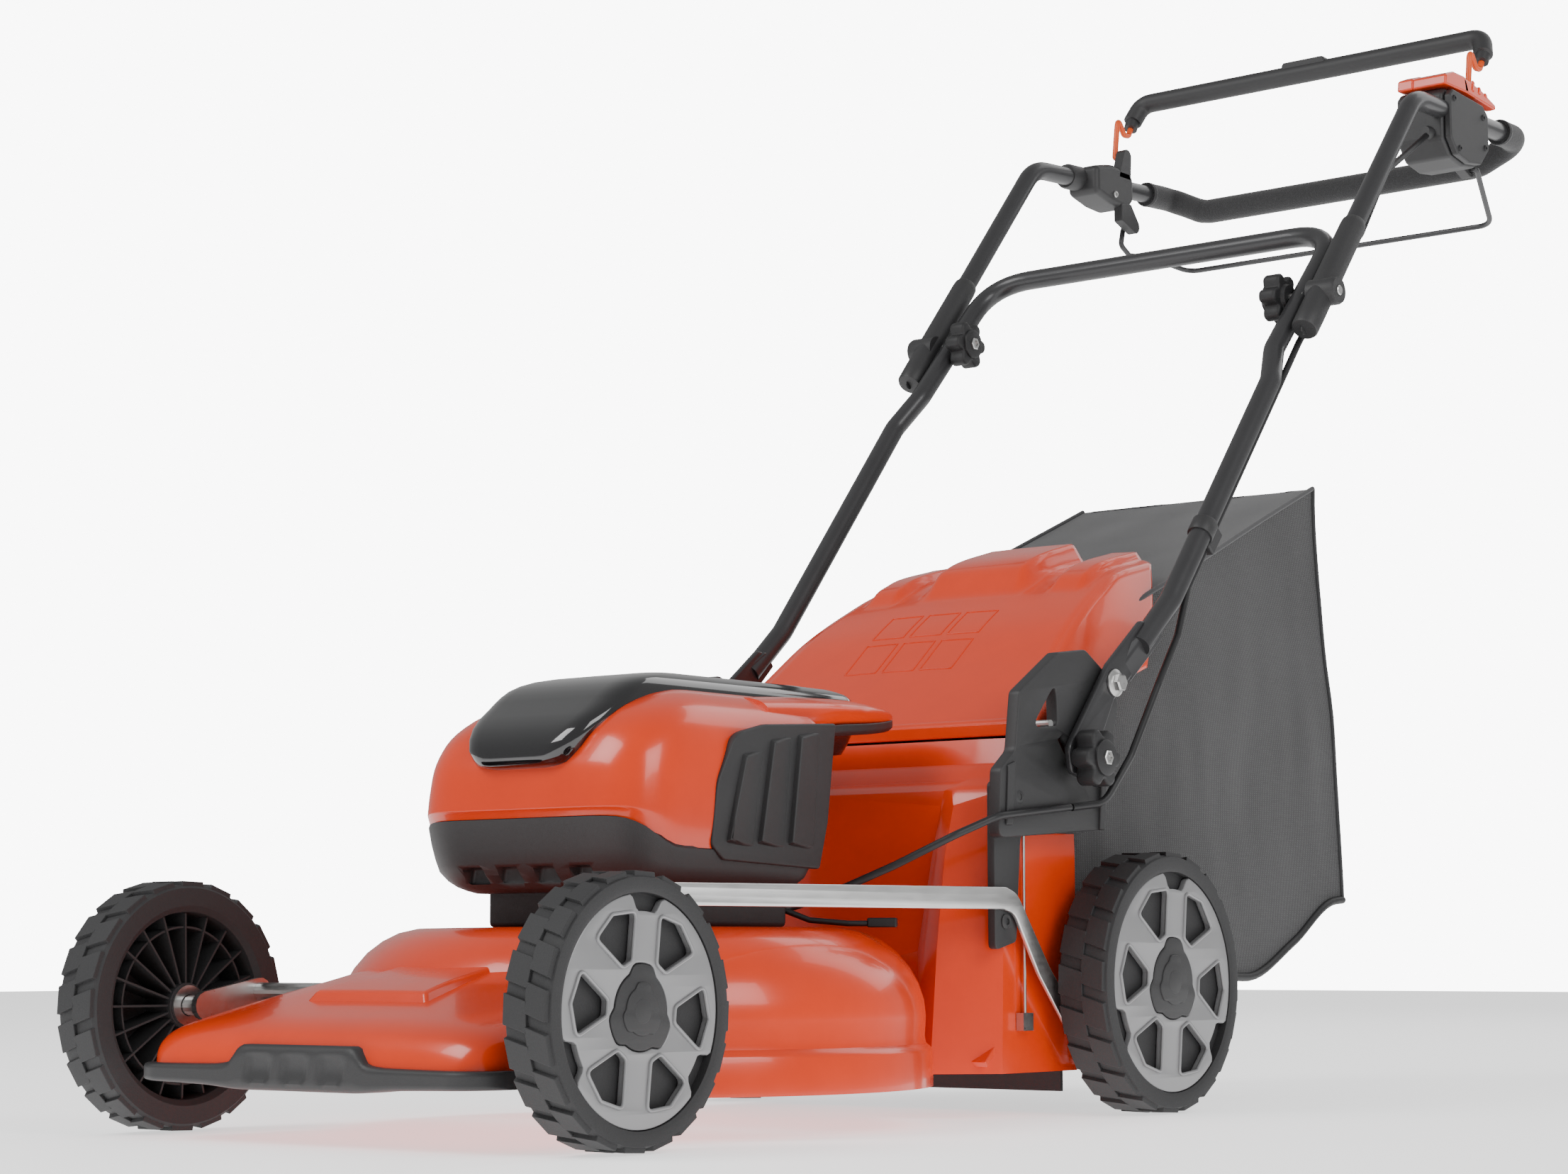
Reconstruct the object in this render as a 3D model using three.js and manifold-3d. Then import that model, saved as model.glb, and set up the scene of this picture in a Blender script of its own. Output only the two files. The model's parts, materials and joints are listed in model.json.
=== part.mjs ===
// Battery push lawn mower. Millimetres, +Z up, ground at Z = 0, front of the mower towards -Y,
// mower's left side towards +X. The rear wheel axle stands over Y = 0.
import * as THREE from "three";
import { ConvexGeometry } from "three/addons/geometries/ConvexGeometry.js";
import { mergeVertices } from "three/addons/utils/BufferGeometryUtils.js";
import Module from "manifold-3d";

const wasm = await Module();
wasm.setup();

// ---------- driving dimensions ----------
const GAP = 0.4;                       // clearance left between pieces that touch
const WHEELBASE = 755;
const WHEEL_FACE_X = 277;              // outer face of the wheels
const FRONT_WHEEL = { radius: 105, width: 48, trimRadius: 88, y: -WHEELBASE };
const REAR_WHEEL = { radius: 121, width: 54, trimRadius: 102, y: 0 };

const BLADE_Y = -450;                  // centre of the round cutting chamber
const CHAMBER_RADIUS = 262;
const SKIRT_Z = 34;                    // lower edge of the deck
const PLATEAU_Z = 170;                 // flat top of the deck, which carries the motor
const SHEET = 4;                       // wall of the deck and the flap
const NOSE_Y = -842;
const NOSE_HALF = 190;
const TOWER_HALF = 205;
const TOWER_TOP_Z = 345;

const HOOD_HALF = 135;                 // half width of the motor housing
const HOUSING_BASE_Z = PLATEAU_Z + 30;

const CRANK_ARM = 60;                  // wheel axle to crank shaft, front and rear
const CRANK_PIN = 78;                  // crank shaft to link pin
const FRONT_CRANK = { y: FRONT_WHEEL.y + CRANK_ARM, z: 116 };
const REAR_CRANK = { y: REAR_WHEEL.y - CRANK_ARM, z: 132 };
const LINK_X = 217.5;

const HANDLE_PIVOT = { y: -38, z: 400 };
const LOWER_CLAMP = { y: -95, z: 326 };
const UPPER_PIVOT = { y: 352, z: 836 };
const TUBE_RADIUS = 11;
const LOWER_TUBE_X = 240;
const LOWER_TOP_X = 226.5;
const UPPER_TUBE_X = 254;
const CROSSBAR = { y: 440, z: 922 };

// ---------- colours ----------
const ORANGE = { color: 0xe8500f, roughness: 0.25, metalness: 0.1 };
const CHARCOAL = { color: 0x3a3a3c, roughness: 0.6, metalness: 0 };
const BLACK = { color: 0x161617, roughness: 0.75, metalness: 0 };
const RUBBER = { color: 0x1b1b1b, roughness: 0.85, metalness: 0 };
const GLOSS_BLACK = { color: 0x0b0b0c, roughness: 0.12, metalness: 0 };
const TUBE_PAINT = { color: 0x404042, roughness: 0.45, metalness: 0.3 };
const SILVER = { color: 0xb5b5b5, roughness: 0.4, metalness: 0.2 };
const STEEL = { color: 0xc9c9c9, roughness: 0.3, metalness: 0.9 };
const FABRIC = { color: 0x2f2f31, roughness: 0.95, metalness: 0 };

const mower = new THREE.Group();

function add(name, geometry, finish) {
  const mesh = new THREE.Mesh(geometry, new THREE.MeshStandardMaterial(finish));
  mesh.name = name;
  mower.add(mesh);
}

// ---------- solids ----------
function solid(geometry) {
  const bare = geometry.clone();
  bare.deleteAttribute("normal");
  bare.deleteAttribute("uv");
  const welded = mergeVertices(bare, 1e-4);
  return new wasm.Manifold(new wasm.Mesh({
    numProp: 3,
    vertProperties: new Float32Array(welded.attributes.position.array),
    triVerts: new Uint32Array(welded.index.array),
  }));
}

function geometryOf(manifold) {
  const mesh = manifold.getMesh();
  const geometry = new THREE.BufferGeometry();
  geometry.setAttribute("position", new THREE.BufferAttribute(new Float32Array(mesh.vertProperties), 3));
  geometry.setIndex(new THREE.BufferAttribute(new Uint32Array(mesh.triVerts), 1));
  geometry.computeVertexNormals();
  return geometry;
}

function join(...pieces) {
  return pieces.reduce((whole, piece) => whole.add(piece));
}

function box(x0, x1, y0, y1, z0, z1) {
  const geometry = new THREE.BoxGeometry(x1 - x0, y1 - y0, z1 - z0);
  geometry.translate((x0 + x1) / 2, (y0 + y1) / 2, (z0 + z1) / 2);
  return solid(geometry);
}

// A cylinder along X between x0 and x1, with a flat at the bottom when sides is a multiple of 4.
function rodX(radius, x0, x1, y, z, sides = 16) {
  const geometry = new THREE.CylinderGeometry(radius, radius, Math.abs(x1 - x0), sides);
  geometry.rotateY(Math.PI / sides);
  geometry.rotateZ(Math.PI / 2);
  geometry.translate((x0 + x1) / 2, y, z);
  return solid(geometry);
}

function rodZ(radius, z0, z1, x, y, sides = 24) {
  const geometry = new THREE.CylinderGeometry(radius, radius, z1 - z0, sides);
  geometry.rotateX(Math.PI / 2);
  geometry.translate(x, y, (z0 + z1) / 2);
  return solid(geometry);
}

function hull(points) {
  return solid(new ConvexGeometry(points.map(p => new THREE.Vector3(...p))));
}

// The same (x, y, z) points and their mirror images in the plane X = 0.
function mirrored(points) {
  return points.flatMap(([x, y, z]) => [[x, y, z], [-x, y, z]]);
}

// An outline drawn in the Y-Z plane, extruded from x0 to x1.
function plateYZ(outline, x0, x1, holes = []) {
  const shape = new THREE.Shape(outline.map(([y, z]) => new THREE.Vector2(y, z)));
  for (const hole of holes) {
    shape.holes.push(new THREE.Path(hole.map(([y, z]) => new THREE.Vector2(y, z))));
  }
  const geometry = new THREE.ExtrudeGeometry(shape, { depth: x1 - x0, bevelEnabled: false });
  geometry.applyMatrix4(new THREE.Matrix4().makeBasis(
    new THREE.Vector3(0, 1, 0), new THREE.Vector3(0, 0, 1), new THREE.Vector3(1, 0, 0)));
  geometry.translate(x0, 0, 0);
  return solid(geometry);
}

// A profile of [radius, x] pairs turned about the X axis. The radii are across the flats, and one flat
// faces down.
function turnedX(profile, sides) {
  const toCorner = 1 / Math.cos(Math.PI / sides);
  const closed = [...profile, profile[0]].map(([r, x]) => new THREE.Vector2(r * toCorner, x));
  const geometry = new THREE.LatheGeometry(closed, sides, Math.PI / sides);
  geometry.rotateZ(-Math.PI / 2);
  return geometry;
}

// A path of straight runs with round bends, sampled only where it bends. A corner is [x, y, z] or,
// with a bend radius of its own, [x, y, z, radius].
class BentPath extends THREE.Curve {
  constructor(corners, bendRadius, stepsPerBend = 5) {
    super();
    const at = corners.map(([x, y, z]) => new THREE.Vector3(x, y, z));
    const last = at.length - 1;
    const heading = i => at[i + 1].clone().sub(at[i]).normalize();
    this.points = [at[0]];
    this.headings = [heading(0)];
    for (let i = 1; i < last; i += 1) {
      const before = heading(i - 1);
      const after = heading(i);
      const turn = before.angleTo(after);
      if (turn < 0.02) continue;
      const room = 0.49 * Math.min(at[i].distanceTo(at[i - 1]), at[i].distanceTo(at[i + 1]));
      const trim = Math.min((corners[i][3] ?? bendRadius) * Math.tan(turn / 2), room);
      const radius = trim / Math.tan(turn / 2);
      const start = at[i].clone().addScaledVector(before, -trim);
      const inward = after.clone().addScaledVector(before, -before.dot(after)).normalize();
      for (let k = 0; k <= stepsPerBend; k += 1) {
        const angle = turn * k / stepsPerBend;
        this.points.push(start.clone().addScaledVector(before, radius * Math.sin(angle))
          .addScaledVector(inward, radius * (1 - Math.cos(angle))));
        this.headings.push(before.clone().multiplyScalar(Math.cos(angle))
          .addScaledVector(inward, Math.sin(angle)));
      }
    }
    this.points.push(at[last]);
    this.headings.push(heading(last - 1));
  }
  get steps() { return this.points.length - 1; }
  getPointAt(u) { return this.points[Math.round(u * this.steps)].clone(); }
  getTangentAt(u) { return this.headings[Math.round(u * this.steps)].clone(); }
}

function sweep(section, corners, bendRadius, stepsPerBend) {
  const path = new BentPath(corners, bendRadius, stepsPerBend);
  const options = { steps: path.steps, extrudePath: path, bevelEnabled: false };
  return solid(new THREE.ExtrudeGeometry(section, options));
}

function roundSection(radius, sides) {
  const points = [];
  for (let i = 0; i < sides; i += 1) {
    const angle = 2 * Math.PI * (i + 0.5) / sides;
    points.push(new THREE.Vector2(radius * Math.cos(angle), radius * Math.sin(angle)));
  }
  return new THREE.Shape(points);
}

function tube(radius, corners, bendRadius, sides = 10, stepsPerBend = 5) {
  return sweep(roundSection(radius, sides), corners, bendRadius, stepsPerBend);
}

// ---------- wheels ----------
const NOTCH_ANGLE = 85 * Math.PI / 180;   // first of the three spokes whose rim end is notched

// Drawn about the origin for a wheel on the left side, its outer face towards +X.
function wheelPolar(count, radiusAt) {
  const outline = [];
  for (let i = 0; i < count; i += 1) {
    const angle = 2 * Math.PI * i / count;
    outline.push([radiusAt(angle) * Math.cos(angle), radiusAt(angle) * Math.sin(angle)]);
  }
  return outline;
}

function hubCapOutline(wheel, growth) {
  const size = 0.36 * wheel.trimRadius;
  return wheelPolar(24, angle => size * (1 + 0.11 * Math.cos(3 * (angle - NOTCH_ANGLE))) + growth);
}

// One opening between two broad spokes: a quadrilateral that narrows towards the hub.
function spokeWindow(wheel, angle) {
  const corner = (radius, offset) => {
    const r = radius * wheel.trimRadius;
    return [r * Math.cos(angle + offset), r * Math.sin(angle + offset)];
  };
  return [corner(0.5, -0.12), corner(0.84, -0.3), corner(0.86, 0), corner(0.84, 0.22), corner(0.5, 0.12)];
}

function wheelTyre(wheel) {
  const { radius, trimRadius } = wheel;
  const outer = wheel.width / 2;
  const inner = -outer;
  const web = outer - 9.5;
  return turnedX([
    [9, inner + 3], [20, inner + 3], [20, web - 6], [trimRadius - 14, web - 6],
    [trimRadius - 9, inner + 4], [trimRadius, inner], [radius - 4, inner + 2], [radius, inner + 9],
    [radius, outer - 9], [radius - 4, outer - 2], [trimRadius + 3, outer], [trimRadius + GAP, outer - 2],
    [trimRadius + GAP, web], [9, web],
  ], 28);
}

function wheelTrim(wheel) {
  const outer = wheel.width / 2;
  const windows = [];
  for (let i = 0; i < 6; i += 1) {
    windows.push(spokeWindow(wheel, NOTCH_ANGLE + Math.PI / 6 + i * Math.PI / 3));
  }
  const rim = wheelPolar(33, angle => {
    const lobe = Math.max(0, Math.cos(3 * (angle - NOTCH_ANGLE)) - 0.88) / 0.12;
    return wheel.trimRadius * (1 - 0.16 * lobe);
  });
  windows.push(hubCapOutline(wheel, GAP));
  return plateYZ(rim, outer - 9, outer - 2, windows);
}

function wheelHubCap(wheel) {
  const outer = wheel.width / 2;
  return plateYZ(hubCapOutline(wheel, 0), outer - 9, outer);
}

function addWheel(name, wheel, side) {
  const pieces = {
    tyre: [solid(wheelTyre(wheel)), RUBBER],
    trim: [wheelTrim(wheel), SILVER],
    hub_cap: [wheelHubCap(wheel), CHARCOAL],
  };
  for (const [piece, [shape, finish]] of Object.entries(pieces)) {
    const turned = side > 0 ? shape : shape.mirror([1, 0, 0]);
    const x = side * (WHEEL_FACE_X - wheel.width / 2);
    add(`${name}_${piece}`, geometryOf(turned.translate([x, wheel.y, wheel.radius])), finish);
  }
}

addWheel("front_left_wheel", FRONT_WHEEL, 1);
addWheel("front_right_wheel", FRONT_WHEEL, -1);
addWheel("rear_left_wheel", REAR_WHEEL, 1);
addWheel("rear_right_wheel", REAR_WHEEL, -1);

// ---------- deck ----------
// A ring of points round a rectangle with cut corners, at height z.
function slab(half, y0, y1, z, corner, rearCorner = corner) {
  return mirrored([
    [half, y0 + corner, z], [half - 0.3 * corner, y0 + 0.3 * corner, z], [half - corner, y0, z],
    [half - rearCorner, y1, z], [half, y1 - rearCorner, z],
  ]);
}

function dome(inset, bottom) {
  const r = CHAMBER_RADIUS - inset;
  const top = PLATEAU_Z - inset;
  const profile = [
    [0, bottom], [r, bottom], [r, 62], [r - 4, 68], [r - 4, 108], [r - 12, 132],
    [r - 28, top - 14], [r - 46, top - 3], [r - 60, top], [0, top],
  ].map(([radius, z]) => new THREE.Vector2(radius, z));
  const geometry = new THREE.LatheGeometry(profile, 36);
  geometry.rotateX(Math.PI / 2);
  geometry.translate(0, BLADE_Y, 0);
  return solid(geometry);
}

function nose(inset, bottom) {
  const half = NOSE_HALF - inset;
  const front = NOSE_Y + inset;
  return hull([
    ...slab(half, front, front + 60, bottom, 34),
    ...slab(half, front, front + 60, 64, 34),
    ...slab(half - 5, front + 12, front + 80, 90 - inset, 34),
    ...slab(half - 12, front + 44, front + 120, 104 - inset, 34),
    ...mirrored([[half - 14, front + 200, bottom], [half - 14, front + 160, 118 - inset],
      [half - 60, front + 190, 141 - inset], [120, front + 310, 166 - inset],
      [150, BLADE_Y, bottom], [150, BLADE_Y, 160 - inset]]),
  ]);
}

function tower(inset, bottom) {
  const half = TOWER_HALF - inset;
  const rear = -58;
  const shoulder = hull([
    ...slab(half, -222 + inset, rear, bottom, 45, 8),
    ...slab(half, -214 + inset, rear, 150, 45, 8),
    ...slab(half, -194 + inset, rear, 284, 40, 8),
    ...slab(half - 8, -185 + inset, rear, 300 - inset, 30, 8),
  ]);
  const neck = hull([
    ...slab(half - 4, -150 + inset, rear, 280, 10),
    ...slab(half - 10, -144 + inset, rear, TOWER_TOP_Z - inset, 10),
  ]);
  return shoulder.add(neck);
}

function deckShell() {
  const outside = join(dome(0, SKIRT_Z), nose(0, SKIRT_Z + 14), tower(0, SKIRT_Z + 6));
  const inside = join(dome(SHEET, SKIRT_Z - 5), nose(SHEET, SKIRT_Z - 5), tower(SHEET, SKIRT_Z - 5));
  const mouth = box(-186, 186, -80, -40, 182, 332);
  const chuteFloor = plateYZ([[-197, 46], [-54, 168], [-54, 174], [-200, 52]], -203, 203);
  const openRear = box(-200, 200, -80, -40, SKIRT_Z - 5, 160);
  const shaftHoles = join(
    rodX(10, -230, 230, FRONT_CRANK.y, FRONT_CRANK.z),
    rodX(10, -230, 230, REAR_CRANK.y, REAR_CRANK.z),
    rodZ(30, 150, 180, 0, BLADE_Y),
  );
  const shell = outside.subtract(inside).subtract(mouth).subtract(openRear);
  const floor = chuteFloor.intersect(outside);
  return shell.add(floor).subtract(shaftHoles);
}
const deck = deckShell();

function bumperPlan(outset) {
  const half = NOSE_HALF + outset;
  const front = NOSE_Y - outset;
  return [
    [half, front + 34], [half - 10.2, front + 10.2], [half - 34, front], [34 - half, front],
    [10.2 - half, front + 10.2], [-half, front + 34],
  ];
}

// The bumper runs across the nose and is taller in the middle.
function frontBumper() {
  const layer = (outset, z0, z1, halfWidth) => {
    const outer = hull(bumperPlan(outset).flatMap(([x, y]) => [[x, y, z0], [x, y, z1]]));
    return outer.intersect(box(-halfWidth, halfWidth, -900, NOSE_Y + 30, z0, z1));
  };
  const low = layer(7, 48, 62, 250);
  const high = layer(7, 44, 78, 78);
  return low.add(high).subtract(nose(-GAP, 20));
}

add("deck_shell", geometryOf(deck), ORANGE);
add("front_bumper", geometryOf(frontBumper()), CHARCOAL);

// ---------- motor housing ----------
function hoodSolid(inset) {
  const shape = (half, y0, y1, z, corner, rearCorner) =>
    slab(half - inset, y0 + inset, y1 - inset, z, corner, rearCorner);
  const body = hull([
    ...shape(HOOD_HALF - 25, -570, -372, HOUSING_BASE_Z + inset, 40, 16),
    ...shape(HOOD_HALF - 4, -592, -362, HOUSING_BASE_Z + 22, 56, 16),
    ...shape(HOOD_HALF, -600, -354, 262, 60, 16),
    ...shape(HOOD_HALF - 2, -594, -340, 310, 58, 16),
    ...shape(HOOD_HALF - 16, -568, -332, 352 - inset, 52, 20),
  ]);
  const top = hull([
    ...shape(HOOD_HALF - 18, -560, -250, 344, 52),
    ...shape(104, -552, -186, 358, 40),
    ...shape(98, -548, -178, 366, 40),
    ...shape(82, -525, -200, 380 - inset, 30),
  ]);
  return body.add(top);
}

function lidSolid(outset) {
  const shape = (half, y0, y1, z, corner) => slab(half + outset, y0 - outset, y1 + outset, z, corner);
  return hull([
    ...shape(54, -606, -520, 304 - outset, 22),
    ...shape(68, -600, -225, 330, 22),
    ...shape(76, -572, -216, 356, 24),
    ...shape(76, -548, -216, 381, 24),
    ...shape(52, -480, -222, 390 + outset, 28),
  ]);
}

const splitLine = [[-700, 260], [-545, 260], [-500, 236], [-100, 236]];
function belowSplit(drop) {
  const outline = [...splitLine.map(([y, z]) => [y, z - drop]), [-100, 100], [-700, 100]];
  return plateYZ(outline, -200, 200);
}

const grilleOutline = [[-432, 240], [-412, 314], [-392, 332], [-358, 336], [-368, 262], [-378, 226]];
const GRILLE_CENTRE = { y: -392, z: 284 };
function grilleBlock(growth, side) {
  return hull(grilleOutline.flatMap(([y, z]) => {
    const fromCentre = [y - GRILLE_CENTRE.y, z - GRILLE_CENTRE.z];
    const scale = 1 + growth / Math.hypot(...fromCentre);
    const point = [GRILLE_CENTRE.y + fromCentre[0] * scale, GRILLE_CENTRE.z + fromCentre[1] * scale];
    return [[side * 108, ...point], [side * 150, ...point]];
  }));
}

const PEDESTAL = { half: 100, y0: -530, y1: -358 };
const MOTOR_RADIUS = 72;
const MOTOR_SHAFT_RADIUS = 10;

function housingLower() {
  const shell = hoodSolid(0).subtract(hoodSolid(SHEET)).intersect(belowSplit(GAP));
  const { half, y0, y1 } = PEDESTAL;
  const base = box(-half, half, y0, y1, PLATEAU_Z + GAP, HOUSING_BASE_Z + 3);
  const hollow = box(SHEET - half, half - SHEET, y0 + SHEET, y1 - SHEET, PLATEAU_Z - 5, HOUSING_BASE_Z + 10);
  const cableHole = box(82, 94, -366, -350, 180, 192);
  return shell.add(base).subtract(hollow).subtract(cableHole)
    .subtract(grilleBlock(GAP, 1)).subtract(grilleBlock(GAP, -1));
}

function housingHood() {
  const shell = hoodSolid(0).subtract(hoodSolid(SHEET)).subtract(belowSplit(0));
  const batteryBay = box(-54, 54, -552, -240, 320, 400);
  return shell.subtract(lidSolid(GAP)).subtract(batteryBay)
    .subtract(grilleBlock(GAP, 1)).subtract(grilleBlock(GAP, -1));
}

// The outer 17 mm of the housing's side, inside the grille's outline.
function sideGrille(side) {
  const nearFace = side * (HOOD_HALF - 17);
  const farFace = side * (HOOD_HALF + 5);
  const slice = box(Math.min(nearFace, farFace), Math.max(nearFace, farFace), -500, -300, 200, 400);
  return hoodSolid(0).intersect(grilleBlock(0, side)).intersect(slice);
}

add("housing_lower", geometryOf(housingLower()), CHARCOAL);
add("housing_hood", geometryOf(housingHood()), ORANGE);
add("side_grille_left", geometryOf(sideGrille(1)), CHARCOAL);
add("side_grille_right", geometryOf(sideGrille(-1)), CHARCOAL);
const lidHollow = lidSolid(-3).add(box(-49, 49, -572, -245, 250, 352));
add("battery_lid", geometryOf(lidSolid(0).subtract(lidHollow)), GLOSS_BLACK);
add("battery_pack", geometryOf(box(-44, 44, -545, -360, 262, 346)), BLACK);
const motor = rodZ(MOTOR_RADIUS, PLATEAU_Z + GAP, 238, 0, BLADE_Y, 32)
  .subtract(rodZ(MOTOR_SHAFT_RADIUS + 1, 100, 215, 0, BLADE_Y));
add("motor", geometryOf(motor), BLACK);

// ---------- cutting gear ----------
// ---------- blade ----------
const BLADE = { z: 56, thickness: 4, half: 243, width: 46, sailHeight: 20 };
const BOLT_RADIUS = 6;
function bladeSolid() {
  const { z, half, sailHeight } = BLADE;
  const edge = BLADE.width / 2;
  const top = z + BLADE.thickness;
  const bar = box(-half, half, BLADE_Y - edge, BLADE_Y + edge, z, top);
  // The turned-up wing at the back edge of each end; side and turn are 1 or -1.
  const wing = (side, turn) => hull([
    [side * 150, BLADE_Y + turn * 10, z], [side * half, BLADE_Y + turn * 10, z],
    [side * 150, BLADE_Y + turn * edge, z + 4], [side * 165, BLADE_Y + turn * edge, z + sailHeight],
    [side * half, BLADE_Y + turn * edge, z + sailHeight], [side * half, BLADE_Y + turn * edge, z + 4],
  ]);
  return join(bar, wing(1, 1), wing(-1, -1))
    .subtract(rodZ(BOLT_RADIUS + 0.5, z - 5, top + 30, 0, BLADE_Y));
}

// A flange under the blade's clamp, a hub round the motor shaft and the bolt hole below it.
const ADAPTER = { flangeTop: 74, top: 92 };
const adapter = rodZ(24, BLADE.z + BLADE.thickness + GAP, ADAPTER.flangeTop, 0, BLADE_Y)
  .add(rodZ(17, ADAPTER.flangeTop - 4, ADAPTER.top, 0, BLADE_Y))
  .subtract(rodZ(BOLT_RADIUS + 0.5, 40, ADAPTER.flangeTop + 2, 0, BLADE_Y))
  .subtract(rodZ(MOTOR_SHAFT_RADIUS + GAP, ADAPTER.flangeTop + 1, 100, 0, BLADE_Y));
const bladeBolt = rodZ(13, BLADE.z - 9, BLADE.z - GAP, 0, BLADE_Y, 6)
  .add(rodZ(BOLT_RADIUS, BLADE.z - 2, ADAPTER.flangeTop, 0, BLADE_Y));
const motorShaft = rodZ(MOTOR_SHAFT_RADIUS, ADAPTER.flangeTop + 1.5, 210, 0, BLADE_Y);
add("motor_shaft", geometryOf(motorShaft), STEEL);
add("blade_adapter", geometryOf(adapter), BLACK);
add("blade", geometryOf(bladeSolid()), STEEL);
add("blade_bolt", geometryOf(bladeBolt), STEEL);

// ---------- discharge flap ----------
const FLAP_HINGE = { y: -127, z: 357 };
// Left half of the ridge, from the hinge up and back: [half width, y, z].
const flapRidge = [
  [200, -134, 352], [176, -51, 420], [165, 11, 470], [155, 68, 505], [149, 115, 528], [146, 180, 545],
];
function flapSolid(inset) {
  const drop = inset > 0 ? 40 : 0;
  const rim = [[206, -134, 349], [206, -30, 386], [200, 73, 420], [186, 130, 462]];
  return hull(mirrored([
    ...flapRidge.map(([x, y, z]) => [x - inset, y + 0.7 * inset, z - inset]),
    ...rim.map(([x, y, z]) => [x - inset, y + drop, z - drop]),
    [146 - inset, 180 + drop, 541 - inset],
  ]));
}
function dischargeFlap() {
  const panel = side => hull([
    [side * 96, 20, 470], [side * 140, 20, 470], [side * 104, 40, 494], [side * 134, 40, 494],
    [side * 100, 110, 532], [side * 132, 110, 532], [side * 96, 178, 543], [side * 136, 178, 543],
    [side * 104, 172, 555], [side * 130, 172, 555],
  ]);
  const centre = hull(mirrored([
    [66, 26, 474], [52, 66, 518], [70, 178, 543], [52, 172, 566], [52, 78, 524],
  ]));
  const barrel = rodX(8, -200, 200, FLAP_HINGE.y, FLAP_HINGE.z);
  return join(flapSolid(0), panel(1), panel(-1), centre).subtract(flapSolid(SHEET)).add(barrel)
    .subtract(rodX(4.5, -300, 300, FLAP_HINGE.y, FLAP_HINGE.z));
}
add("discharge_flap", geometryOf(dischargeFlap()), ORANGE);
add("flap_hinge_rod", geometryOf(rodX(4, -226, 226, FLAP_HINGE.y, FLAP_HINGE.z, 12)), STEEL);

// ---------- side brackets ----------
const BRACKET_PLATE = { x0: 215, x1: 228 };
const bracketUpper = [
  [-215, 262], [-208, 318], [-184, 334], [-176, 384], [-112, 424], [-72, 430], [-20, 400],
  [-14, 380], [-30, 330], [-44, 262],
];
const bracketLower = [
  [-197, 150], [-197, 300], [-60, 300], [-60, 258], [-162, 258], [-170, 158], [-178, 150],
];

// Slot in which the clamp stud swings about the handle pivot; it runs out of the plate's lower edge.
function clampSlot(x0, x1) {
  const reach = Math.hypot(LOWER_CLAMP.y - HANDLE_PIVOT.y, LOWER_CLAMP.z - HANDLE_PIVOT.z);
  const start = Math.atan2(LOWER_CLAMP.z - HANDLE_PIVOT.z, LOWER_CLAMP.y - HANDLE_PIVOT.y);
  const arc = (radius, from, to) => {
    const points = [];
    for (let i = 0; i <= 10; i += 1) {
      const angle = from + (to - from) * i / 10;
      points.push([HANDLE_PIVOT.y + radius * Math.cos(angle), HANDLE_PIVOT.z + radius * Math.sin(angle)]);
    }
    return points;
  };
  const shut = start - 0.3;
  const open = start + 1.6;
  return plateYZ([...arc(reach - 5.5, shut, open), ...arc(reach + 5.5, open, shut)], x0, x1);
}

function sideBracket(side) {
  const { x0, x1 } = BRACKET_PLATE;
  const upper = plateYZ(bracketUpper, x0, x1);
  const lower = plateYZ(bracketLower, TOWER_HALF + GAP, 214);
  const tie = plateYZ([[-197, 262], [-194, 312], [-186, 328], [-70, 328], [-62, 262]], TOWER_HALF + GAP, x1);
  const plate = join(upper, lower, tie)
    .subtract(clampSlot(x0 - 12, x1 + 5))
    .subtract(rodX(5.4, x0 - 12, x1 + 5, HANDLE_PIVOT.y, HANDLE_PIVOT.z, 20))
    .subtract(rodX(4.4, x0 - 12, x1 - 1, FLAP_HINGE.y, FLAP_HINGE.z, 12));
  return side > 0 ? plate : plate.mirror([1, 0, 0]);
}
add("side_bracket_left", geometryOf(sideBracket(1)), CHARCOAL);
add("side_bracket_right", geometryOf(sideBracket(-1)), CHARCOAL);

// ---------- running gear ----------
const CRANK_X = { x0: 208, x1: 214 };
function crankLever(from, to, radius, side) {
  const ring = ([y, z]) => wheelPolar(14, () => radius)
    .flatMap(([dy, dz]) => [[side * CRANK_X.x0, y + dy, z + dz], [side * CRANK_X.x1, y + dy, z + dz]]);
  return hull([...ring(from), ...ring(to)]);
}

function frontAxle() {
  const shaft = rodX(8, -CRANK_X.x1, CRANK_X.x1, FRONT_CRANK.y, FRONT_CRANK.z);
  const hub = [FRONT_WHEEL.y, FRONT_WHEEL.radius];
  const centre = [FRONT_CRANK.y, FRONT_CRANK.z];
  const pin = [FRONT_CRANK.y, FRONT_CRANK.z + CRANK_PIN];
  const stub = side => rodX(8.4, side * CRANK_X.x0, side * (WHEEL_FACE_X - 10.5), ...hub);
  return join(shaft, crankLever(centre, hub, 12, 1), crankLever(centre, hub, 12, -1), stub(1), stub(-1),
    crankLever(centre, pin, 9, 1), rodX(4, CRANK_X.x0, LINK_X + 4.5, ...pin, 12));
}

function rearCrank() {
  const shaft = rodX(8, -CRANK_X.x1, CRANK_X.x1, REAR_CRANK.y, REAR_CRANK.z);
  const hub = [REAR_WHEEL.y, REAR_WHEEL.radius];
  const centre = [REAR_CRANK.y, REAR_CRANK.z];
  const pin = [REAR_CRANK.y, REAR_CRANK.z - CRANK_PIN];
  const grip = [REAR_CRANK.y + 126, REAR_CRANK.z + 126];
  const bearing = side => rodX(9.4, side * 200, side * 220, ...hub, 20);
  return join(shaft, crankLever(centre, hub, 15, 1), crankLever(centre, hub, 15, -1),
    crankLever(centre, pin, 9, 1), crankLever(centre, grip, 9, -1))
    .subtract(bearing(1)).subtract(bearing(-1)).subtract(rodX(4.5, 200, 220, ...pin, 12));
}

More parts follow.
